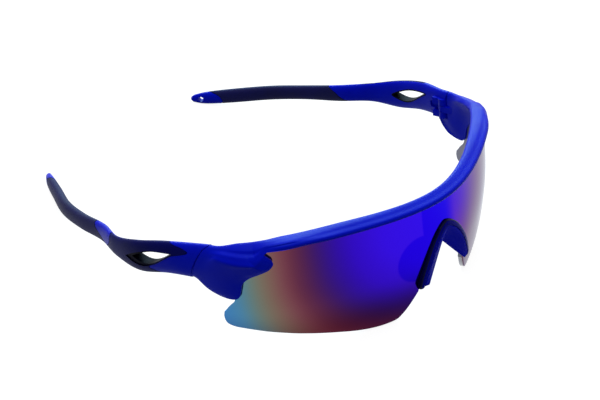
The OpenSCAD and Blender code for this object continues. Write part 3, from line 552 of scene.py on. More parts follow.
lensShape = {"thickness": 1.8, "tuck": 1.0, "tuckLoss": 0.4, "lossSpan": (48, 60), "drop": 39.3,
             "notchHalf": 12.8, "notchRise": 20, "notchFoot": 31, "notchPower": 1.6, "edgeRound": 0.35,
             "edgeSteps": 5, "columns": 260, "notchColumns": 60, "rings": 56}
frameShape = {"depthMid": 3.6, "depthCorner": 6, "height": 2.7, "lip": 1.4, "cornerLip": 0.4, "ridge": 2.2,
              "shortRidge": 0.4, "ridgeFade": 2.5, "cornerSlope": 0.72, "cornerFoot": 0.9, "lensFit": 0.1,
              "lensSet": 0.9, "setDepth": 26, "edgeMid": -1.06, "edgeRise": 2.25, "edgePeak": 61.6,
              "postHalf": 7, "postT": 1.8, "postGap": 2, "postTuck": 0.4, "postRound": 0.5,
              "browEnd": 55, "topLoss": 0.4, "lossSpan": (35, 55), "depthShare": 0.78, "backLip": 1,
              "clawStart": 64.6, "clawEnd": 95, "shelf": 3.2, "innerWall": -3.6, "grooveRoom": 0.35,
              "roomSpan": (66, 72), "grooveEnd": 80, "lipSpan": (44, 60), "lipLean": 0.35,
              "leanSpan": (50, 60), "clawSpan": (58, 66), "columnLean": 0.18, "browColumns": 16,
              "clawColumns": 30, "columnsPerStep": 6, "ringPerSpan": 4}


def edgeZ(s):
    # The front lip's lower edge along the brow rises towards the corners as a raised cosine
    rise = frameShape["edgeRise"] * (1 - np.cos(math.pi * s / frameShape["edgePeak"])) / 2
    return frameShape["edgeMid"] + rise


def lensSink(z):
    # The lens and what it carries are set back behind the shell at the top, and less so further down
    return frameShape["lensSet"] * (1 - ease(0, frameShape["setDepth"], -z))


# The lens's top edge past the brow, as s and z
lensTopRows = [(64, float(edgeZ(64)) + lensShape["tuck"] - lensShape["tuckLoss"]), (67, 1.2), (70, -0.3),
               (72.4, -2.8), (74.2, -5.4), (75.2, -8.4), (75.8, -11.6), (76.3, -14.5), (77.1, -17),
               (79, -19.1), (80.6, -21.3)]


def lensTop(s):
    # The lens's top edge: in the groove along the brow, then down inside the end piece
    brow = edgeZ(s) + lensShape["tuck"] - lensShape["tuckLoss"] * ease(*lensShape["lossSpan"], s)
    inside = smoothRows(lensTopRows, np.minimum(s, lensTopRows[-1][0]))[..., 1]
    return np.where(s <= lensTopRows[0][0], brow, inside)


def arch(angle):
    # The nose notch: a superellipse arch, 0 at the left foot to 180 degrees at the right foot
    n = 2 / lensShape["notchPower"]
    radians = np.radians(angle)
    return np.stack([lensShape["notchHalf"] * power(np.cos(radians), n),
                     -lensShape["notchFoot"] + lensShape["notchRise"] * power(np.sin(radians), n)], axis=-1)


# The lens's lower edge: place along it, foot s, foot z, and the s at which that column ends at the top
lowest = -lensShape["drop"]
lensRows = [(0, lensShape["notchHalf"], -lensShape["notchFoot"], 13.5),
            (1, 15.6, -lensShape["notchFoot"] - 4, 16), (2, 18.1, lowest + 1.5, 18.5),
            (3, 20.6, lowest + 0.1, 21.5), (4, 26.8, lowest + 0.2, 27.5), (5, 34.1, lowest + 1.6, 34.5),
            (6, 41.6, lowest + 3.8, 42), (7, 48.8, lowest + 6, 49), (8, 55.6, lowest + 8.2, 56),
            (9, 62.2, lowest + 10.4, 62.5), (10, 68.5, lowest + 12, 68.6), (11, 73, lowest + 12.6, 72.4),
            (12, 76.6, lowest + 12.8, 75.2), (13, 79.2, lowest + 13.4, 76.3), (14, 80.4, lowest + 14.6, 79.2),
            (15, 80.85, lowest + 16.1, 80.7)]


def lensColumns():
    # Columns from the middle of the notch round the lobe: foot s, foot z, top s
    n, m = lensShape["notchColumns"], lensShape["columns"]
    notch = np.arange(n) / n
    notchFeet = arch(90 - 90 * notch)
    lobe = smoothRows(lensRows, np.arange(m + 1) / m * lensRows[-1][0])
    return (np.concatenate([notchFeet[:, 0], lobe[:, 1]]), np.concatenate([notchFeet[:, 1], lobe[:, 2]]),
            np.concatenate([mix(0, lensRows[0][3], notch), lobe[:, 3]]))


def makeLens():
    # Each column runs up the front face, over the top and down the back. Its ends are rounded by a quarter
    # of a circle, where the distance from the edge is r (1 - cos) and the drop below the face r (1 - sin).
    footS, footZ, topS = lensColumns()
    topZ = lensTop(topS)
    length = np.hypot(topS - footS, topZ - footZ)[:, None]
    r, t = lensShape["edgeRound"], lensShape["thickness"]
    quarter = np.linspace(0, math.pi / 2, lensShape["edgeSteps"])
    inner = np.minimum(r, length / 3)
    rise = (1 - np.cos(quarter)) * inner
    face = np.linspace(0, 1, lensShape["rings"])[None, 1:-1]
    up = np.concatenate([rise, mix(inner, length - inner, face), length - rise[:, ::-1]], axis=1)
    drop = r * (1 - np.sin(quarter))
    depth = np.concatenate([drop, np.zeros(lensShape["rings"] - 2), drop[::-1]])
    f = np.concatenate([up, up[:, ::-1]], axis=1) / length
    e = np.concatenate([-depth, depth - t])[None, :]
    s = mix(footS[:, None], topS[:, None], f)
    z = mix(footZ[:, None], topZ[:, None], f)
    s = np.concatenate([-s[:0:-1], s])
    z = np.concatenate([z[:0:-1], z])
    grid = onShell(s, z, e - lensSink(z))
    uv = np.stack([s, -z], axis=-1) * uvPerMillimetre
    piece = gridPiece("shieldLens", grid, uv=uv)
    across = grid.shape[1]
    onBack = np.zeros(len(piece.data.polygons), np.int32)
    onBack[:(len(grid) - 1) * across] = np.tile(np.arange(across) >= across // 2, len(grid) - 1)
    piece.data.polygons.foreach_set("material_index", onBack)
    return finishPiece(piece, "front", ["shield_lens"], [mirrorLens, lensBack])


makeLens()

# The brow frame

# The claw's lower edge: place along it, s and z
clawRows = [(0, 64.6, 1.3), (0.05, 65.9, 0.5), (0.1, 64.8, -0.7), (0.15, 63.7, -1.8), (0.2, 63.6, -3.2),
            (0.26, 65, -4.8), (0.34, 68, -6.1), (0.43, 71.2, -7.5), (0.51, 73.6, -9.8), (0.58, 74.3, -12.6),
            (0.65, 74.9, -14.8), (0.71, 76.5, -15.8), (0.78, 79.6, -15.8), (0.86, 84, -14.6),
            (0.93, 89, -11.8), (1, 95, -10.5)]
deep, ridge = frameShape["depthCorner"], frameShape["ridge"]
grooveBack = -lensShape["thickness"] - frameShape["lensFit"]
browRidge = (-1.5, ridge - 1.6, 2.2)
# The end piece: s, top height, depth, ridge height, ridge reach and shoulder height
endRows = [(55, float(edgeZ(55)) + frameShape["height"] - frameShape["topLoss"],
            mix(frameShape["depthMid"], deep, frameShape["depthShare"]), *browRidge),
           (62, 3.5, deep - 0.2, -1.7, ridge - 1.5, 1.2), (66, 3.3, deep, -2, ridge - 0.6, 0.7),
           (70, 2.9, deep, -2.2, ridge - 0.2, 0.5), (74, 2.5, deep - 0.3, -2.2, ridge, 0.45),
           (78, 2.1, deep - 0.8, -1.9, ridge, 0.45), (84, 1.5, deep - 1.5, -1.2, ridge - 0.1, 0.5),
           (95, 1.2, deep - 2.4, -0.8, ridge - 0.2, 0.6)]


def barRows(s):
    # The same six values at every s: along the brow the depth grows with about the square of the way, and
    # past it they follow the end piece's rows
    t = s / frameShape["browEnd"]
    top = edgeZ(s) + frameShape["height"] - frameShape["topLoss"] * ease(*frameShape["lossSpan"], s)
    depth = mix(frameShape["depthMid"], deep, frameShape["depthShare"] * t ** 2 * (1.6 - 0.6 * t))
    brow = np.stack([s, top, depth] + [np.full_like(s, value) for value in browRidge], axis=-1)
    return np.where((s >= frameShape["browEnd"])[:, None], smoothRows(endRows, s), brow)


def swing(f):
    # From a column's height share f to how far it has swung from the foot's s to the top's s: q solves
    # f = 2 lean q + (1 - 2 lean) q q, and the swing is 1 less the square of 1 - q
    lean = frameShape["columnLean"]
    rest = 1 - 2 * lean
    q = (np.sqrt(lean ** 2 + rest * np.clip(f, 0, 1)) - lean) / rest
    return 1 - (1 - q) ** 2


def barSection(zb, zt, d, lip, lean):
    # The brow's section as [out from the shell, height]: the front lip, which leans back towards the corners,
    # then over the top and down the back
    low, shoulder = zb - frameShape["backLip"], zb + 1.6
    rear = grooveBack - lensSink(low)
    front = [(0.3, 0), (0.62 * lip / frameShape["lip"], 0.1), (lip - 0.15, 0.33), (lip, 0.65), (lip, 0.95),
             (lip - 0.12, 1.25), (lip - 0.45, 1.6)]
    return [(e - lean * h, zb + h) for e, h in front] + [
        (-0.5, mix(shoulder, zt, 0.4)), (-1.7, mix(shoulder, zt, 0.8)), (1 - d, zt), (0.2 - d, zt - 0.4),
        (-0.05 - d, zt - 1.2), (0.3 - d, np.maximum(zt - frameShape["height"], zb - 0.2)),
        (np.minimum(0.9 - d, rear - 0.4), low + 0.1), (rear - 0.2, low)]


def underSlope(point):
    # The corner of the end piece keeps behind a slope: the smooth lesser of e and the slope's own e
    e, z = point
    slope = frameShape["cornerSlope"] * (frameShape["cornerFoot"] - z)
    return (e + slope - np.sqrt((e - slope) ** 2 + 0.06)) / 2, z


def clawSection(zb, zt, d, zr, full, slope):
    # A hooked front with a ridge and a valley; the ridge fades where the claw is short, in its notch
    r = np.maximum(zr, mix(zb, zt, 0.25))
    o = np.maximum(slope, mix(r, zt, 0.38))
    out = mix(frameShape["shortRidge"], full, ease(0, frameShape["ridgeFade"], r - zb))
    wall = frameShape["innerWall"]
    front = [(0.4, zb), (np.maximum(0.45, 0.45 * out), mix(zb, r, 0.12)),
             (np.maximum(0.5, 0.64 * out), mix(zb, r, 0.35)),
             (np.maximum(0.55, 0.82 * out), mix(zb, r, 0.68)), (out, r), (0.75 * out, mix(r, o, 0.48)),
             (0.3 * out, mix(r, o, 0.82)), (-0.6, o + 0.15), (-1.3, mix(o, zt, 0.46))]
    rear = [(1.9 - d, zt), (0.8 - d, zt - 0.45), (-d, zt - 1.4),
            (mix(wall, -d, 0.4), np.maximum(zt - frameShape["shelf"], mix(zb, zt, 0.5))),
            (wall, mix(zb, zt, 0.32)), (wall + 0.4, zb + 0.12)]
    return [underSlope(point) for point in front] + rear


def sectionRings(section, count):
    # A section's points at every column
    points = [np.stack(np.broadcast_arrays(np.zeros(count) + e, z), axis=-1) for e, z in section]
    return np.stack(points, axis=1)


# The temples' own shape, which the frame's seam end shares

templeShape = {"length": 105.8, "bend": 25.6, "halfH": 5.65, "earHalfH": 2.85, "halfT": 2.3, "earHalfT": 2,
               "power": 2.3, "topLean": 0.11, "leanSpan": (0, 13), "least": 0.2,
               "lanyardR": 1.0, "lanyardAt": 3.6}
# The temple's spine and size: u behind the hinge, out, height, half height and half thickness
tallFront, tallEar = templeShape["halfH"], templeShape["earHalfH"]
thickFront, thickEar = templeShape["halfT"], templeShape["earHalfT"]
templeRows = [(-5, 0.5, -4.4, tallFront + 0.4, thickFront), (1, 1.6, -4.7, tallFront + 0.15, thickFront),
              (13, 4.6, -5.1, tallFront, thickFront), (25, 5.9, -7.2, tallFront - 0.2, thickFront - 0.25),
              (37, 4.2, -8.2, mix(tallFront, tallEar, 0.68), thickFront - 0.85),
              (49, -0.9, -8.9, tallEar + 0.45, thickEar - 0.35), (63, -4.3, -10, tallEar, thickEar),
              (77, -9.1, -11, tallEar, thickEar), (91, -16.9, -11.95, tallEar, thickEar - 0.1),
              (101, -22.6, -12.6, tallEar - 0.45, thickEar - 0.4),
              (templeShape["length"], -templeShape["bend"], -12.6, tallEar - 1.6, thickEar - 1)]


def templePoint(u, angle, inset):
    # Superellipse section carried along the spine: u behind the hinge, angle in degrees from the outside
    # over the top, and inset below the skin. Near the hinge the section leans inwards at its top.
    row, ahead = smoothRows(templeRows, u), smoothRows(templeRows, u + 0.5)
    slant = np.hypot(1, (ahead[..., 1] - row[..., 1]) * 2)
    halfH = np.maximum(templeShape["least"], row[..., 3] - inset)
    halfT = np.maximum(templeShape["least"], row[..., 4] - inset) * slant
    radians = np.radians(angle)
    n = 2 / templeShape["power"]
    rise = halfH * power(np.sin(radians), n)
    lean = templeShape["topLean"] * (1 - ease(*templeShape["leanSpan"], u))
    x = hingeX + row[..., 1] + halfT * power(np.cos(radians), n) - lean * rise
    return np.stack(np.broadcast_arrays(x, hingeY + u, row[..., 2] + rise), axis=-1)


# Where the frame's fifteen section points meet the temple's section, in degrees
seamAngles = np.array([-78, -62, -44, -24, -3, 18, 38, 56, 74, 94, 118, 146, 176, 212, 250], float)


def seamRing():
    # The temple's section just ahead of the hinge, as [out from the lens, height]
    p = templePoint(np.full(len(seamAngles), -1.0), seamAngles, 0)
    flat = p[:, :2] - np.stack([np.zeros(len(p)), bow(p[:, 2])], axis=-1)
    origin = np.array([np.interp(hinge["at"], wrapS, wrapX), np.interp(hinge["at"], wrapS, wrapY)])
    normal = np.array([math.sin(hingeTurn), -math.cos(hingeTurn)])
    return np.stack([(flat - origin) @ normal, p[:, 2]], axis=-1)


def frameGrid():
    # Sections of the brow bar turn into those of the claw, and then into the temple's own at the seam. Each
    # is rounded by a cubic through its points, stands on its leaning column and has the groove cut up it.
    shape = frameShape
    steps = (shape["browColumns"] + shape["clawColumns"]) * shape["columnsPerStep"]
    w = np.arange(steps + 1) / shape["columnsPerStep"]
    t = (w - shape["browColumns"]) / shape["clawColumns"]
    onClaw = w > shape["browColumns"]
    foot = smoothRows(clawRows, np.clip(t, 0, 1))
    topS = np.where(onClaw, mix(shape["clawStart"], shape["clawEnd"], t),
                    shape["clawStart"] * w / shape["browColumns"])
    row = barRows(topS)
    footS = np.where(onClaw, foot[:, 1], topS)
    footZ = np.where(onClaw, foot[:, 2], edgeZ(topS))
    topZ, depth = row[:, 1], row[:, 2]

    def onColumn(points):
        # A section's points on the shell, where s swings from foot to top with the height
        rise = (points[..., 1] - footZ[:, None]) / (topZ - footZ)[:, None]
        s = mix(footS[:, None], topS[:, None], swing(rise))
        return onShell(s, points[..., 1], points[..., 0])

    def grooveTop(s):
        # How high the groove is open: the lens's top edge, with room past its rear corner
        return lensTop(s - shape["grooveRoom"] * ease(*shape["roomSpan"], s)) + shape["lensFit"]

    lip = mix(shape["lip"], shape["cornerLip"], ease(*shape["lipSpan"], topS))
    lean = shape["lipLean"] * ease(*shape["leanSpan"], topS)
    bar = sectionRings(barSection(footZ, topZ, depth, lip, lean), len(w))
    claw = sectionRings(clawSection(footZ, topZ, depth, row[:, 3], row[:, 4], row[:, 5]), len(w))
    ring = mix(bar, claw, ease(*shape["clawSpan"], topS)[:, None, None])
    q = onColumn(ring)
    ahead = ease(0, hinge["seamBlend"], seamY(q[..., 0], q[..., 2]) - q[..., 1])
    ring = mix(seamRing()[None], ring, ahead[..., None])
    low, high = footZ.copy(), topZ.copy()
    for _ in range(14):  # halves in on the height at which the groove's top crosses each column
        middle = (low + high) / 2
        s = mix(footS, topS, swing((middle - footZ) / (topZ - footZ)))
        above = grooveTop(s) > middle
        low, high = np.where(above, middle, low), np.where(above, high, middle)
    grooved = (grooveTop(footS) > footZ) & (footS < shape["grooveEnd"])
    groove = np.maximum(footZ + 0.05, np.where(grooved, low, footZ))
    backZ = mix(ring[:, -1, 1:], groove[:, None], np.array([0.1, 0.4, 0.7, 1.0]))
    frontZ = mix(ring[:, 0, 1:], groove[:, None], np.array([1.0, 0.7, 0.4, 0.02]))
    backE = np.maximum(grooveBack - lensSink(backZ), ring[:, -1, :1] + 0.1)
    frontE = np.minimum(shape["lensFit"] - lensSink(frontZ), ring[:, 0, :1] - 0.1)
    back, front = np.stack([backE, backZ], axis=-1), np.stack([frontE, frontZ], axis=-1)
    half = onColumn(np.concatenate([smoothRings(ring, shape["ringPerSpan"]), back, front], axis=1))
    mirrored = half[:0:-1] * np.array([-1, 1, 1])
    return np.concatenate([mirrored, half])


def shellPlate(half, z, e, columns=48, rows=16):
    # A curved plate behind the middle of the lens, which follows how far the lens is set back
    s = np.linspace(-half, half, columns + 1)[:, None]
    rise = np.linspace(z[0], z[1], rows + 1)
    height = np.concatenate([rise, rise[::-1]])[None]
    out = np.repeat(np.array(e), rows + 1)[None] - lensSink(height)
    return gridPiece("plate", onShell(s, height + 0 * s, out), caps="strip")


# How far the cuts for the temple's knuckles reach from the hinge's axis, and the tongue that meets it
frameCuts = {"in": 8, "out": 0.05, "back": 9, "above": 1.6, "top": 6, "slab": 40, "tongueAhead": 6,
             "tongueEdge": 0.5, "spare": 0.5}


def makeFrame():
    # The swept bar, less the room for the temple's knuckles, plus the tongues and the post behind the lens
    piece = gridPiece("browFrame", frameGrid())
    cutters, tongues, holes = [], [], []
    gap, cuts = hinge["gap"], frameCuts
    lowRoom = (earLow[0] - gap, earLow[1] + gap)
    edge, spare = cuts["tongueEdge"], cuts["spare"]
    for side in (-1, 1):
        cutters.append(seamBlock(side, -hinge["seamGap"] / 2, cuts["slab"]))
        cutters.append(hingePost(side, (earHigh[0] - gap, cuts["top"]), reliefR))
        cutters.append(hingePost(side, lowRoom, reliefR))
        for span in ((earHigh[0] - gap, earHigh[1] + cuts["above"]), lowRoom):
            cutters.append(hingeBlock(side, (-cuts["in"], cuts["out"]), (-reliefR, cuts["back"]), span))
        cutters.append(hingeBlock(side, (0, reliefR), (0, cuts["back"]), lowRoom))
        tongues.append(hingePost(side, tongue, hinge["knuckleR"]))
        tongues.append(hingeBlock(side, (-hinge["knuckleR"], edge), (-cuts["tongueAhead"], -edge), tongue))
        holes.append(hingePost(side, (tongue[0] - spare, tongue[1] + spare), hinge["screwR"]))
    postFront = grooveBack - 0.1
    postLow = -lensShape["notchFoot"] + lensShape["notchRise"] + frameShape["postGap"]
    postHigh = frameShape["edgeMid"] - frameShape["backLip"] + frameShape["postTuck"]
    for cutter in cutters:
        combine(piece, [cutter], "DIFFERENCE")
    for part in tongues:
        combine(piece, [part], "UNION")
    combine(piece, holes, "DIFFERENCE")
    plate = shellPlate(frameShape["postHalf"], (postLow, postHigh),
                       (postFront, postFront - frameShape["postT"]))
    softenEdges(plate, frameShape["postRound"], 4)
    combine(piece, [plate], "UNION")
    return finishPiece(piece, "front", ["brow_frame"], [frameBlue])


makeFrame()

# The nose piece: a clip that straddles the notch, navy on its front and inner faces and near black elsewhere,
# the black on the lap's side walls being painted shade, and a rubber saddle that fills the arch

noseShape = {"lap": 1.6, "footLap": 1.1, "wall": 0.9, "footWall": 2, "web": 0.5, "veeTop": 17.5,
             "veeFoot": 29.6, "veeHalf": 10.8, "veeSet": 2.2, "veeForward": 1.3, "padReach": 6, "padT": 1.8,
             "padShrink": 0.5, "padNarrow": 1.6, "padWide": 7.5, "padSpan": (0.1, 0.8), "padLoss": 3.2,
             "archFrom": 7, "footCut": 12, "cutSpan": 3, "taper": 0.4, "taperFrom": 0.92, "clipRound": 0.16,
             "stations": 180}


def archK(angle):
    # 0 at the arch's top, growing in step with the angle to 1 at each foot
    return np.abs(90 - angle) / (90 - noseShape["archFrom"])


def besideArch(angle, n, e):
    # An arch point moved n square to the notch's edge, on the shell. The feet are cut back behind the lens.
    behind = np.clip(-e / noseShape["cutSpan"], 0, 1)
    angle = angle + np.sign(90 - angle) * noseShape["footCut"] * archK(angle) ** 5 * behind
    step = arch(np.minimum(angle + 1, 180)) - arch(np.maximum(angle - 1, 0))
    normal = np.stack([step[..., 1], -step[..., 0]], axis=-1) / np.linalg.norm(step, axis=-1, keepdims=True)
    q = arch(angle) + normal * np.asarray(n)[..., None]
    return onShell(q[..., 0], q[..., 1], e - lensSink(q[..., 1]))


def footTaper(angle):
    # The feet end in a round, so the sections shrink over their last stretch, by its share to the power 2.5
    start = noseShape["taperFrom"]
    return 1 - noseShape["taper"] * np.maximum(0, (archK(angle) - start) / (1 - start)) ** 2.5


def clipLap(angle):
    # How far the clip laps over the lens: a straight line from the top's lap to the foot's
    return mix(noseShape["lap"], noseShape["footLap"], archK(angle)) * footTaper(angle)


def clipFront(angle):
    # How far it stands out in front: from the wall to the foot's wall by archK to the power 2.5
    return mix(noseShape["wall"], noseShape["footWall"], archK(angle) ** 2.5) * footTaper(angle)


def clipSection(angle):
    # The clip's section as [away from the notch, out from the shell]: over the front and round the back
    lap, e = clipLap(angle), clipFront(angle)
    back = grooveBack - noseShape["wall"] * footTaper(angle)
    fit, web, flat = frameShape["lensFit"], -noseShape["web"], np.zeros_like(angle)
    return [(lap, flat + fit), (lap - 0.15, e - 0.25), (lap - 0.5, e), (flat + web, e + 0.1),
            (flat + web - fit, back), (lap, back), (lap, flat + grooveBack),
            (flat - fit, flat + grooveBack), (flat - fit, flat + fit)]


def makeClip():
    # The section carried round the arch. Its front and inner faces, strips 2 and 3, are navy; the rest is
    # near black, which on the lap's side walls is painted shade.
    angle = np.linspace(noseShape["archFrom"], 180 - noseShape["archFrom"], noseShape["stations"])
    grid = np.stack([besideArch(angle, n, e) for n, e in clipSection(angle)], axis=1)
    piece = gridPiece("noseClip", grid)
    across = grid.shape[1]
    strip = np.full(len(piece.data.polygons), 4)
    strip[:(len(grid) - 1) * across] = np.tile(np.arange(across), len(grid) - 1)
    navy = np.isin(strip, (2, 3)).astype(np.int32)
    for finish in (clipBlackShade, clipNavy):
        piece.data.materials.append(finish)
    piece.data.polygons.foreach_set("material_index", navy)
    softenEdges(piece, noseShape["clipRound"], 3)
    return finishPiece(piece, "front", ["nose_clip"], [clipBlackShade, clipNavy])


def saddleRings(angle):
    # Each ring runs from the clip's front to the vee, back through the throat to the pad, and home along the
    # clip. The vee's arms are straight lines in veeK, which is archK rounded off near 0 as a hyperbola.
    k = archK(angle)
    web = -noseShape["web"] - frameShape["lensFit"] - 0.05
    veeK = (np.sqrt(k * k + 0.01) - 0.1) / 0.905
    vee = np.stack([np.sign(90 - angle + 1e-4) * noseShape["veeHalf"] * veeK,
                    noseShape["veeSet"] - noseShape["veeForward"] * veeK,
                    -noseShape["veeTop"] - (noseShape["veeFoot"] - noseShape["veeTop"]) * veeK], axis=-1)
    back = grooveBack - noseShape["wall"] - 0.12
    wide = mix(noseShape["padNarrow"], noseShape["padWide"], ease(*noseShape["padSpan"], k))
    wide = wide - noseShape["padLoss"] * k ** 4
    reach = mix(0.6, 0.42, k) * noseShape["padReach"] * (1 - noseShape["padShrink"] * k ** 3)
    padT = noseShape["padT"]
    flat = np.zeros_like(angle)
    lead = besideArch(angle, flat + web, clipFront(angle) - 0.1)
    tail = besideArch(angle, wide, back - reach + padT)
    inTail = besideArch(angle, wide - 0.6, back - reach)
    nudge = np.array([0, 1, 0])
    midThroat = mix(vee, inTail, 0.4) + 0.6 * nudge
    throat = mix(midThroat, besideArch(angle, flat + web - 1.2 + k ** 3, flat + back - 0.8),
                 ease(0.1, 0.6, k)[:, None])
    ring = np.stack([lead, mix(lead, vee, 0.55) - 0.15 * nudge, vee, vee + 0.7 * nudge, throat,
                     mix(throat, inTail, 0.55) + 0.5 * nudge, inTail,
                     besideArch(angle, wide + 0.3, back - reach + padT / 2), tail,
                     besideArch(angle, mix(clipLap(angle), wide, 0.3), flat + back),
                     besideArch(angle, flat + web, flat + back)], axis=1)
    return mix(ring[:, 10:], ring, footTaper(angle)[:, None, None])


def makeSaddle():
    # The rings along the arch, each rounded by a closed cubic
    angle = np.linspace(noseShape["archFrom"], 180 - noseShape["archFrom"], noseShape["stations"])
    piece = gridPiece("noseSaddle", smoothRings(saddleRings(angle), 5, closed=True))
    return finishPiece(piece, "front", ["nose_saddle"], [saddleRubber])


makeClip()
makeSaddle()

# The temples: a blue core, a dark rubber skin on the outside with a slot through it, and an ear sock

inlayShape = {"thickness": 0.8, "fit": 0.03, "edgeRound": 0.25, "gap": 0.25, "from": -81, "to": 99,
              "edgeTurn": 4.5, "edgeAngle": 4, "arcPerDegree": 0.09}
# The inlay's front and rear edges, as degrees round the temple and u behind the hinge
inlayFrontRows = [(-81, 15), (-63, 15.4), (-45, 16.8), (-27, 19), (-9, 16), (9, 11.3), (27, 4.6), (45, 5.6),
                  (63, 9), (81, 11), (99, 11.4)]
inlayRearRows = [(-81, 44), (-63, 44.6), (-45, 44.6), (-27, 44), (-9, 42.4), (9, 41), (99, 41)]
sockShape = {"thickness": 0.8, "edgeRound": 0.35, "mid": 49.3, "wave": 3.7, "waveTurn": 10, "dip": 3.2,
             "dipTurn": 55, "mostForward": 3.9, "endMid": 97.6, "endUp": 1.8, "endOut": 3}
slotShape = {"front": (9.4, -2.6), "length": 18, "tilt": -14.6, "height": 4.2, "upper": 0.32, "lower": 0.68,
             "belly": 1.4, "rim": 0.5, "out": 5, "through": 8, "pocketLonger": 3.2, "pocketTaller": 0.9,
             "pocketDepth": 0.4}


def sockStart(angle):
    # The sock's front edge: a sine round the temple, less the square of a half cosine, and cut off forwards
    a = np.radians(angle)
    wave = sockShape["wave"] * np.sin(a + math.radians(sockShape["waveTurn"]))
    dip = sockShape["dip"] * np.maximum(0, np.cos(a + math.radians(sockShape["dipTurn"]))) ** 2
    return np.maximum(sockShape["mid"] - sockShape["mostForward"], sockShape["mid"] + (wave - dip))


def sockRear(angle):
    # Its rear edge is a flat slanted cut: a sine and a cosine round the temple
    a = np.radians(angle)
    return sockShape["endMid"] + sockShape["endUp"] * np.sin(a) + sockShape["endOut"] * np.cos(a)


def slotPrism(grow):
    # The slot's leaf, grown all round and drawn through the temple
    return leafPrism(slotShape["length"], slotShape["height"], grow, -slotShape["through"], 40)


def leafEdges(f, tall):
    # The leaf's upper edge is an arc of sine, and its lower edge, on a power of f, bellies towards the rear
    return (slotShape["upper"] * tall * np.sin(math.pi * f),
            -slotShape["lower"] * tall * np.sin(math.pi * f ** slotShape["belly"]))


def leafPrism(long, tall, grow, inside, points):
    # The leaf's outline, grown square to its edge, tilted and drawn outwards from inside the temple
    f = np.arange(points) / points
    back = 1 - f
    upper = np.column_stack([f, leafEdges(f, tall)[0]])
    lower = np.column_stack([back, leafEdges(back, tall)[1]])
    outline = np.concatenate([upper, lower]) * np.array([long, 1])
    edge = np.roll(outline, -1, axis=0) - np.roll(outline, 1, axis=0)
    outward = np.stack([-edge[:, 1], edge[:, 0]], axis=-1) / np.linalg.norm(edge, axis=1, keepdims=True)
    outline = outline + outward * grow
    tilt = math.radians(slotShape["tilt"])
    y = outline[:, 0] * math.cos(tilt) - outline[:, 1] * math.sin(tilt)
    z = outline[:, 0] * math.sin(tilt) + outline[:, 1] * math.cos(tilt)
    frontY, frontZ = slotShape["front"]
    ring = np.stack([np.zeros(len(y)), hingeY + frontY + y, frontZ + z], axis=-1)
    rings = [ring + np.array([hingeX + slotShape["out"] + x, 0, 0]) for x in (inside, slotShape["through"])]
    return gridPiece("leaf", np.stack(rings))


def stretch(counts, marks):
    # Places between neighbouring marks, in the given counts, with each mark once
    parts = [mix(marks[i][None], marks[i + 1][None], np.linspace(0, 1, n + 1)[1:, None])
             for i, n in enumerate(counts)]
    return np.concatenate([marks[0][None]] + parts)


def coreGrid():
    # Rings round the temple's own shape. Their places follow the edges of the two rubber parts, under which
    # the core is sunk by their thickness.
    patchFrom, patchTo = inlayShape["from"], inlayShape["to"]
    near = np.linspace(patchFrom, patchTo, 61)
    far = np.linspace(patchTo, patchFrom + 360, 52)[1:-1]
    angle = np.concatenate([near, [patchTo + 1.2], far, [patchFrom + 358.8]])
    sunk = np.concatenate([np.ones(len(near)), np.zeros(len(far) + 2)])
    wrapped = np.where(angle > 180, angle - 360, angle)
    inPatch = np.clip(np.where(angle > 270, angle - 360, angle), patchFrom, patchTo)
    front = np.where(angle <= patchTo, smoothRows(inlayFrontRows, inPatch)[:, 1], 12.5)
    rear = np.where(angle <= patchTo, smoothRows(inlayRearRows, inPatch)[:, 1], 42)
    start, end = sockStart(wrapped), sockRear(wrapped)
    gap, length = inlayShape["gap"], templeShape["length"]
    one = np.ones_like(angle)
    marks = np.stack([-4.4 * one, front, front + gap, rear - gap, rear, start, start + gap, end - gap, end,
                      (length - 1.1) * one, (length - 0.3) * one, length * one])
    counts = [30, 1, 90, 1, 10, 1, 140, 1, 22, 6, 6]
    inlaySink = (inlayShape["thickness"] + inlayShape["fit"]) * sunk
    sockSink = (sockShape["thickness"] + inlayShape["fit"]) * one
    insets = np.stack([0 * one, 0 * one, inlaySink, inlaySink, 0 * one, 0 * one, sockSink, sockSink, 0 * one,
                       0.05 * one, 0.45 * one, one])
    return templePoint(stretch(counts, marks), angle[None], stretch(counts, insets))


# The knuckles' arms, and how far the cuts for the frame's tongue and the screw reach from the hinge's axis
coreCuts = {"armInset": 0.8, "armOut": 1.9, "armBack": 4.4, "slab": 20, "top": 6, "in": 6, "frontOut": 0.2,
            "front": 4, "rearOut": 1.4, "rearLap": 0.6, "rear": 6.5, "below": 0.5, "above": 0.1,
            "underHead": 2}


def makeCore():
    # The swept core, less everything ahead of the seam, plus its knuckles, less the cuts and holes
    piece = gridPiece("templeCore", coreGrid())
    gap, cuts, r = hinge["gap"], coreCuts, hinge["knuckleR"]
    slab = seamBlock(1, -cuts["slab"], hinge["seamGap"] / 2)
    combine(slab, [hingePost(1, (earHigh[0], cuts["top"]), r)], "DIFFERENCE")
    combine(piece, [slab], "DIFFERENCE")
    for span in (earLow, earHigh):
        combine(piece, [hingePost(1, span, r)], "UNION")
        arm = hingeBlock(1, (-r + cuts["armInset"], cuts["armOut"]), (0, cuts["armBack"]), span)
        combine(piece, [arm], "UNION")
    middle = (tongue[0] - gap, tongue[1] + gap)
    rearY = (reliefR - cuts["rearLap"], cuts["rear"])
    cutters = [hingePost(1, middle, reliefR),
               hingeBlock(1, (-cuts["in"], -cuts["frontOut"]), (-cuts["front"], reliefR), middle),
               hingeBlock(1, (-cuts["in"], cuts["rearOut"]), rearY, middle),
               hingePost(1, (barrel[0] - cuts["below"], barrel[1] + cuts["above"]), hinge["screwR"]),
               hingePost(1, (barrel[0] - cuts["underHead"], barrel[0] + hinge["headH"]), hinge["headR"]),
               slotPrism(slotShape["rim"] + inlayShape["fit"]), lanyardPin()]
    for cutter in cutters:
        combine(piece, [cutter], "DIFFERENCE")
    return piece


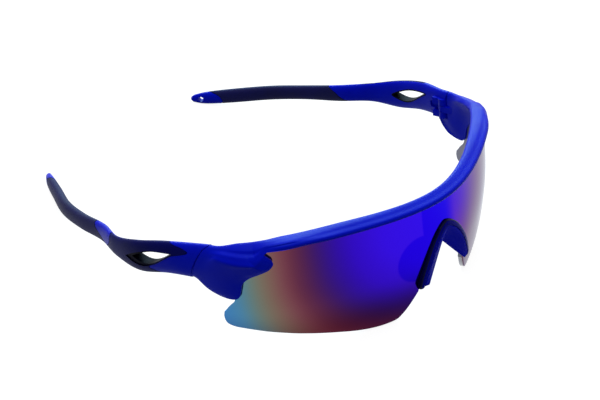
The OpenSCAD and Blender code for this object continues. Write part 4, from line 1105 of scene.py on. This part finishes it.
def lanyardPin():
    # A pin square through the thin way of the tip
    u = templeShape["length"] - templeShape["lanyardAt"]
    row, before, after = (smoothRows(templeRows, np.array([v]))[0] for v in (u, u - 0.5, u + 0.5))
    turn = math.atan(before[1] - after[1])
    pin = prismPiece("pin", circle(0, 0, templeShape["lanyardR"], 48), -7, 7)
    pin.data.transform(Matrix.Translation((hingeX + row[1], hingeY + u, row[2]))
                       @ Matrix.Rotation(turn, 4, "Z") @ Matrix.Rotation(math.pi / 2, 4, "Y"))
    return pin


def edgeInset(distance, r):
    # How far a rounded edge has dropped at a distance in from it: a quarter of a circle
    d = np.clip(distance / r, 0, 1)
    return r * (1 - np.sqrt(1 - (1 - d) ** 2))


def makeInlay():
    # A patch of the temple's skin with rounded edges, plus a rim that lines the slot, less the slot and the
    # pocket behind it
    r, turn, apart = inlayShape["edgeRound"], inlayShape["edgeTurn"], inlayShape["edgeAngle"]
    patchFrom, patchTo = inlayShape["from"], inlayShape["to"]
    nearEdge = r * np.array([0, 0.08, 0.25, 0.5, 0.75, 1])
    angle = np.concatenate([patchFrom + turn * nearEdge, np.linspace(patchFrom + apart, patchTo - apart, 56),
                            patchTo - turn * nearEdge[::-1]])
    front = smoothRows(inlayFrontRows, angle)[:, 1] + inlayShape["gap"]
    rear = smoothRows(inlayRearRows, angle)[:, 1] - inlayShape["gap"]
    steps = np.linspace(0, 1, 90)[None, 1:-1]
    length = (rear - front)[:, None]
    along = np.concatenate([nearEdge[None] + 0 * length, mix(r, length - r, steps),
                            length - nearEdge[None, ::-1]], axis=1)
    fromSide = np.minimum(angle - patchFrom, patchTo - angle)[:, None] * inlayShape["arcPerDegree"]
    fromEnd = np.minimum(along, length - along)
    drop = np.maximum(edgeInset(fromEnd, r), edgeInset(fromSide, r))
    u = (front[:, None] + along).T
    outer = templePoint(u, angle[None], drop.T)
    inner = templePoint(u, angle[None], inlayShape["thickness"])
    piece = gridPiece("slotInlay", np.concatenate([outer, inner[:, ::-1]], axis=1), caps="strip")
    rim = combine(slotPrism(slotShape["rim"]), [bodyAtSlot(0.04)], "INTERSECT")
    combine(piece, [rim], "UNION")
    combine(piece, [slotPrism(0)], "DIFFERENCE")
    pocket = leafPrism(slotShape["length"] + slotShape["pocketLonger"],
                       slotShape["height"] + slotShape["pocketTaller"], 0, 0, 60)
    combine(pocket, [bodyAtSlot(slotShape["pocketDepth"])], "DIFFERENCE")
    combine(piece, [pocket], "DIFFERENCE")
    # Faces inside the pocket's outline, the slot's walls among them, take the near-black painted shade
    piece.data.polygons.foreach_set("material_index", insidePocket(piece).astype(np.int32))
    return piece


def insidePocket(piece):
    # Which faces lie inside the pocket's outline: its floor, its sides and the walls of the slot
    centre = np.zeros(len(piece.data.polygons) * 3)
    piece.data.polygons.foreach_get("center", centre)
    y, z = centre[1::3] - hingeY - slotShape["front"][0], centre[2::3] - slotShape["front"][1]
    tilt = math.radians(slotShape["tilt"])
    f = (y * math.cos(tilt) + z * math.sin(tilt)) / (slotShape["length"] + slotShape["pocketLonger"])
    across = -y * math.sin(tilt) + z * math.cos(tilt)
    upper, lower = leafEdges(np.clip(f, 0, 1), slotShape["height"] + slotShape["pocketTaller"])
    return (f > 0) & (f < 1) & (across < upper + 0.05) & (across > lower - 0.05)


def bodyAtSlot(inset):
    # The temple's body round the slot, inset below its skin
    along = np.linspace(7, 35, 60)[:, None]
    around = np.linspace(0, 360, 97)[None, :-1]
    return gridPiece("body", templePoint(along, around, inset))


def makeSock():
    # A sleeve: its outer face, a round at each end, and its inner face, joined end to end
    angle = np.linspace(0, 360, 97)[:-1]
    wrapped = np.where(angle > 180, angle - 360, angle)
    gap = inlayShape["gap"] + inlayShape["fit"]
    start, end = sockStart(wrapped) + gap, sockRear(wrapped) - gap
    r = sockShape["edgeRound"]
    nearEdge = r * np.array([0, 0.06, 0.2, 0.45, 0.7, 1])
    body = np.linspace(0, 1, 150)[1:-1]
    length = end - start
    outer = np.concatenate([nearEdge[:, None] + 0 * length, mix(r, length[None] - r, body[:, None]),
                            length[None] - nearEdge[::-1, None]])
    drop = edgeInset(np.minimum(outer, length - outer), r)
    outerPoints = templePoint(start + outer, angle[None], drop)
    inner = mix(start[None], end[None], np.linspace(1, 0, 40)[:, None])
    innerPoints = templePoint(inner, angle[None], sockShape["thickness"])
    return gridPiece("earSock", np.concatenate([outerPoints, innerPoints]), caps="none")


def mirroredCopy(piece, name):
    # The same piece on the other side: x turned over, and each face turned round to keep facing outwards
    copy = piece.copy()
    copy.data = piece.data.copy()
    copy.name = name
    bpy.context.scene.collection.objects.link(copy)
    copy.data.transform(Matrix.Scale(-1, 4, (1, 0, 0)))
    copy.data.flip_normals()
    return copy


# The left temple's pieces are made, and each is mirrored for the right one
parts = [(makeCore(), "temple_core", "frame_blue", [frameBlue]),
         (makeInlay(), "slot_inlay", "inlay_rubber", [inlayRubber, pocketShade]),
         (makeSock(), "ear_sock", "sock_rubber", [sockRubber])]
for leftPiece, node, slot, finishes in parts:
    base = leftPiece.name
    rightPiece = mirroredCopy(leftPiece, base + "Right")
    leftPiece.name = base + "Left"
    finishPiece(leftPiece, "temple_left", [node + "_left"], finishes)
    finishPiece(rightPiece, "temple_right", [node + "_right"], finishes)

# The screws keep their CAD nodes, in brushed steel

steelLook = {"dark": (150, 150, 155), "light": (176, 176, 180), "rough": (0.26, 0.4), "bump": 0.1,
             "bumpDepth": 0.00001, "grainScale": 9000, "waveScale": 400, "waveShare": 0.3, "specular": 0.5,
             "metal": 1.0}
screwSteel = plasticMaterial("screwSteel", steelLook)
for name in ("hinge_screw_left", "hinge_screw_right"):
    screw = frame["nodes"][name]
    screw.data.materials.clear()
    screw.data.materials.append(screwSteel)

# The studio: a pale floor and surround that look white to the camera, soft lamps, and the camera

studio = {"floorHalf": 3.0, "floorGrey": 0.25, "floorGlow": 0.9, "worldLight": 0.24, "keyPower": 5.5,
          "keySize": 0.8, "keyPlace": (-0.05, 0.1, 0.95), "backPower": 7.6, "backSize": 0.6,
          "backPlace": (0.65, 0.6, 0.5), "backColour": (0.5, 0.85, 1), "aim": (0, 0, 0.02)}
cameraLook = {"azimuth": -0.8248724, "elevation": 0.4778402, "roll": -0.1150767, "distance": 508.58,
              "target": (-3.572, 59.497, -15.795), "focal": 1468.79, "width": 600, "sensor": 36}


def makeFloor():
    # A flat sheet of paper that shows white, by itself, to the camera and in reflections
    h = studio["floorHalf"]
    floor = makePiece("floor", [(-h, -h, 0), (h, -h, 0), (h, h, 0), (-h, h, 0)], [(0, 1, 2, 3)])
    material = bpy.data.materials.new("floorPaper")
    material.use_nodes = True
    tree = material.node_tree
    shader = tree.nodes["Principled BSDF"]
    grey = studio["floorGrey"]
    shader.inputs["Base Color"].default_value = (grey, grey, grey, 1)
    shader.inputs["Roughness"].default_value = 0.9
    shader.inputs["Specular IOR Level"].default_value = 0.1
    shader.inputs["Emission Color"].default_value = (1, 1, 1, 1)
    path = tree.nodes.new("ShaderNodeLightPath")
    seen = mathNode(tree, "MAXIMUM", path.outputs["Is Camera Ray"], path.outputs["Is Glossy Ray"])
    glow = mathNode(tree, "MULTIPLY", seen, studio["floorGlow"])
    tree.links.new(glow, shader.inputs["Emission Strength"])
    floor.data.materials.append(material)


def makeWorld():
    # A white surround at full strength to the camera and in reflections, and a weak light otherwise
    world = bpy.context.scene.world or bpy.data.worlds.new("studio")
    bpy.context.scene.world = world
    world.use_nodes = True
    tree = world.node_tree
    background = tree.nodes["Background"]
    background.inputs["Color"].default_value = (1, 1, 1, 1)
    path = tree.nodes.new("ShaderNodeLightPath")
    seen = mathNode(tree, "MAXIMUM", path.outputs["Is Camera Ray"], path.outputs["Is Transmission Ray"])
    seen = mathNode(tree, "MAXIMUM", seen, path.outputs["Is Glossy Ray"])
    level = studio["worldLight"]
    strength = mathNode(tree, "MULTIPLY_ADD", seen, 1 - level, level)
    tree.links.new(strength, background.inputs["Strength"])


def makeLamp(name, powerW, size, place, colour=(1, 1, 1)):
    # A square soft lamp that faces the object
    lamp = bpy.data.lights.new(name, "AREA")
    lamp.energy = powerW
    lamp.size = size
    lamp.color = colour
    holder = bpy.data.objects.new(name, lamp)
    bpy.context.scene.collection.objects.link(holder)
    holder.location = place
    holder.rotation_euler = (Vector(place) - Vector(studio["aim"])).to_track_quat("Z", "Y").to_euler()


def makeCamera():
    # The view as seen by the wearer's frame, carried into the standing frame
    look = cameraLook
    azimuth, elevation, roll = look["azimuth"], look["elevation"], look["roll"]
    back = Vector((math.sin(azimuth) * math.cos(elevation), -math.cos(azimuth) * math.cos(elevation),
                   math.sin(elevation)))
    flatRight = Vector((math.cos(azimuth), math.sin(azimuth), 0))
    flatUp = back.cross(flatRight)
    right = math.cos(roll) * flatRight + math.sin(roll) * flatUp
    up = -math.sin(roll) * flatRight + math.cos(roll) * flatUp
    place = toStand @ (Vector(look["target"]) + look["distance"] * back)
    turn = toStand.to_quaternion().to_matrix() @ Matrix((right, up, back)).transposed()
    lens = bpy.data.cameras.new("camera")
    lens.sensor_width = look["sensor"]
    lens.lens = look["focal"] * look["sensor"] / look["width"]
    lens.clip_start = 0.01
    camera = bpy.data.objects.new("camera", lens)
    bpy.context.scene.collection.objects.link(camera)
    camera.matrix_world = Matrix.Translation(place) @ turn.to_4x4()
    bpy.context.scene.camera = camera


makeFloor()
makeWorld()
makeLamp("key", studio["keyPower"], studio["keySize"], studio["keyPlace"])
makeLamp("back", studio["backPower"], studio["backSize"], studio["backPlace"], studio["backColour"])
makeCamera()
bpy.context.scene.view_settings.view_transform = "Standard"
print("studio ready")
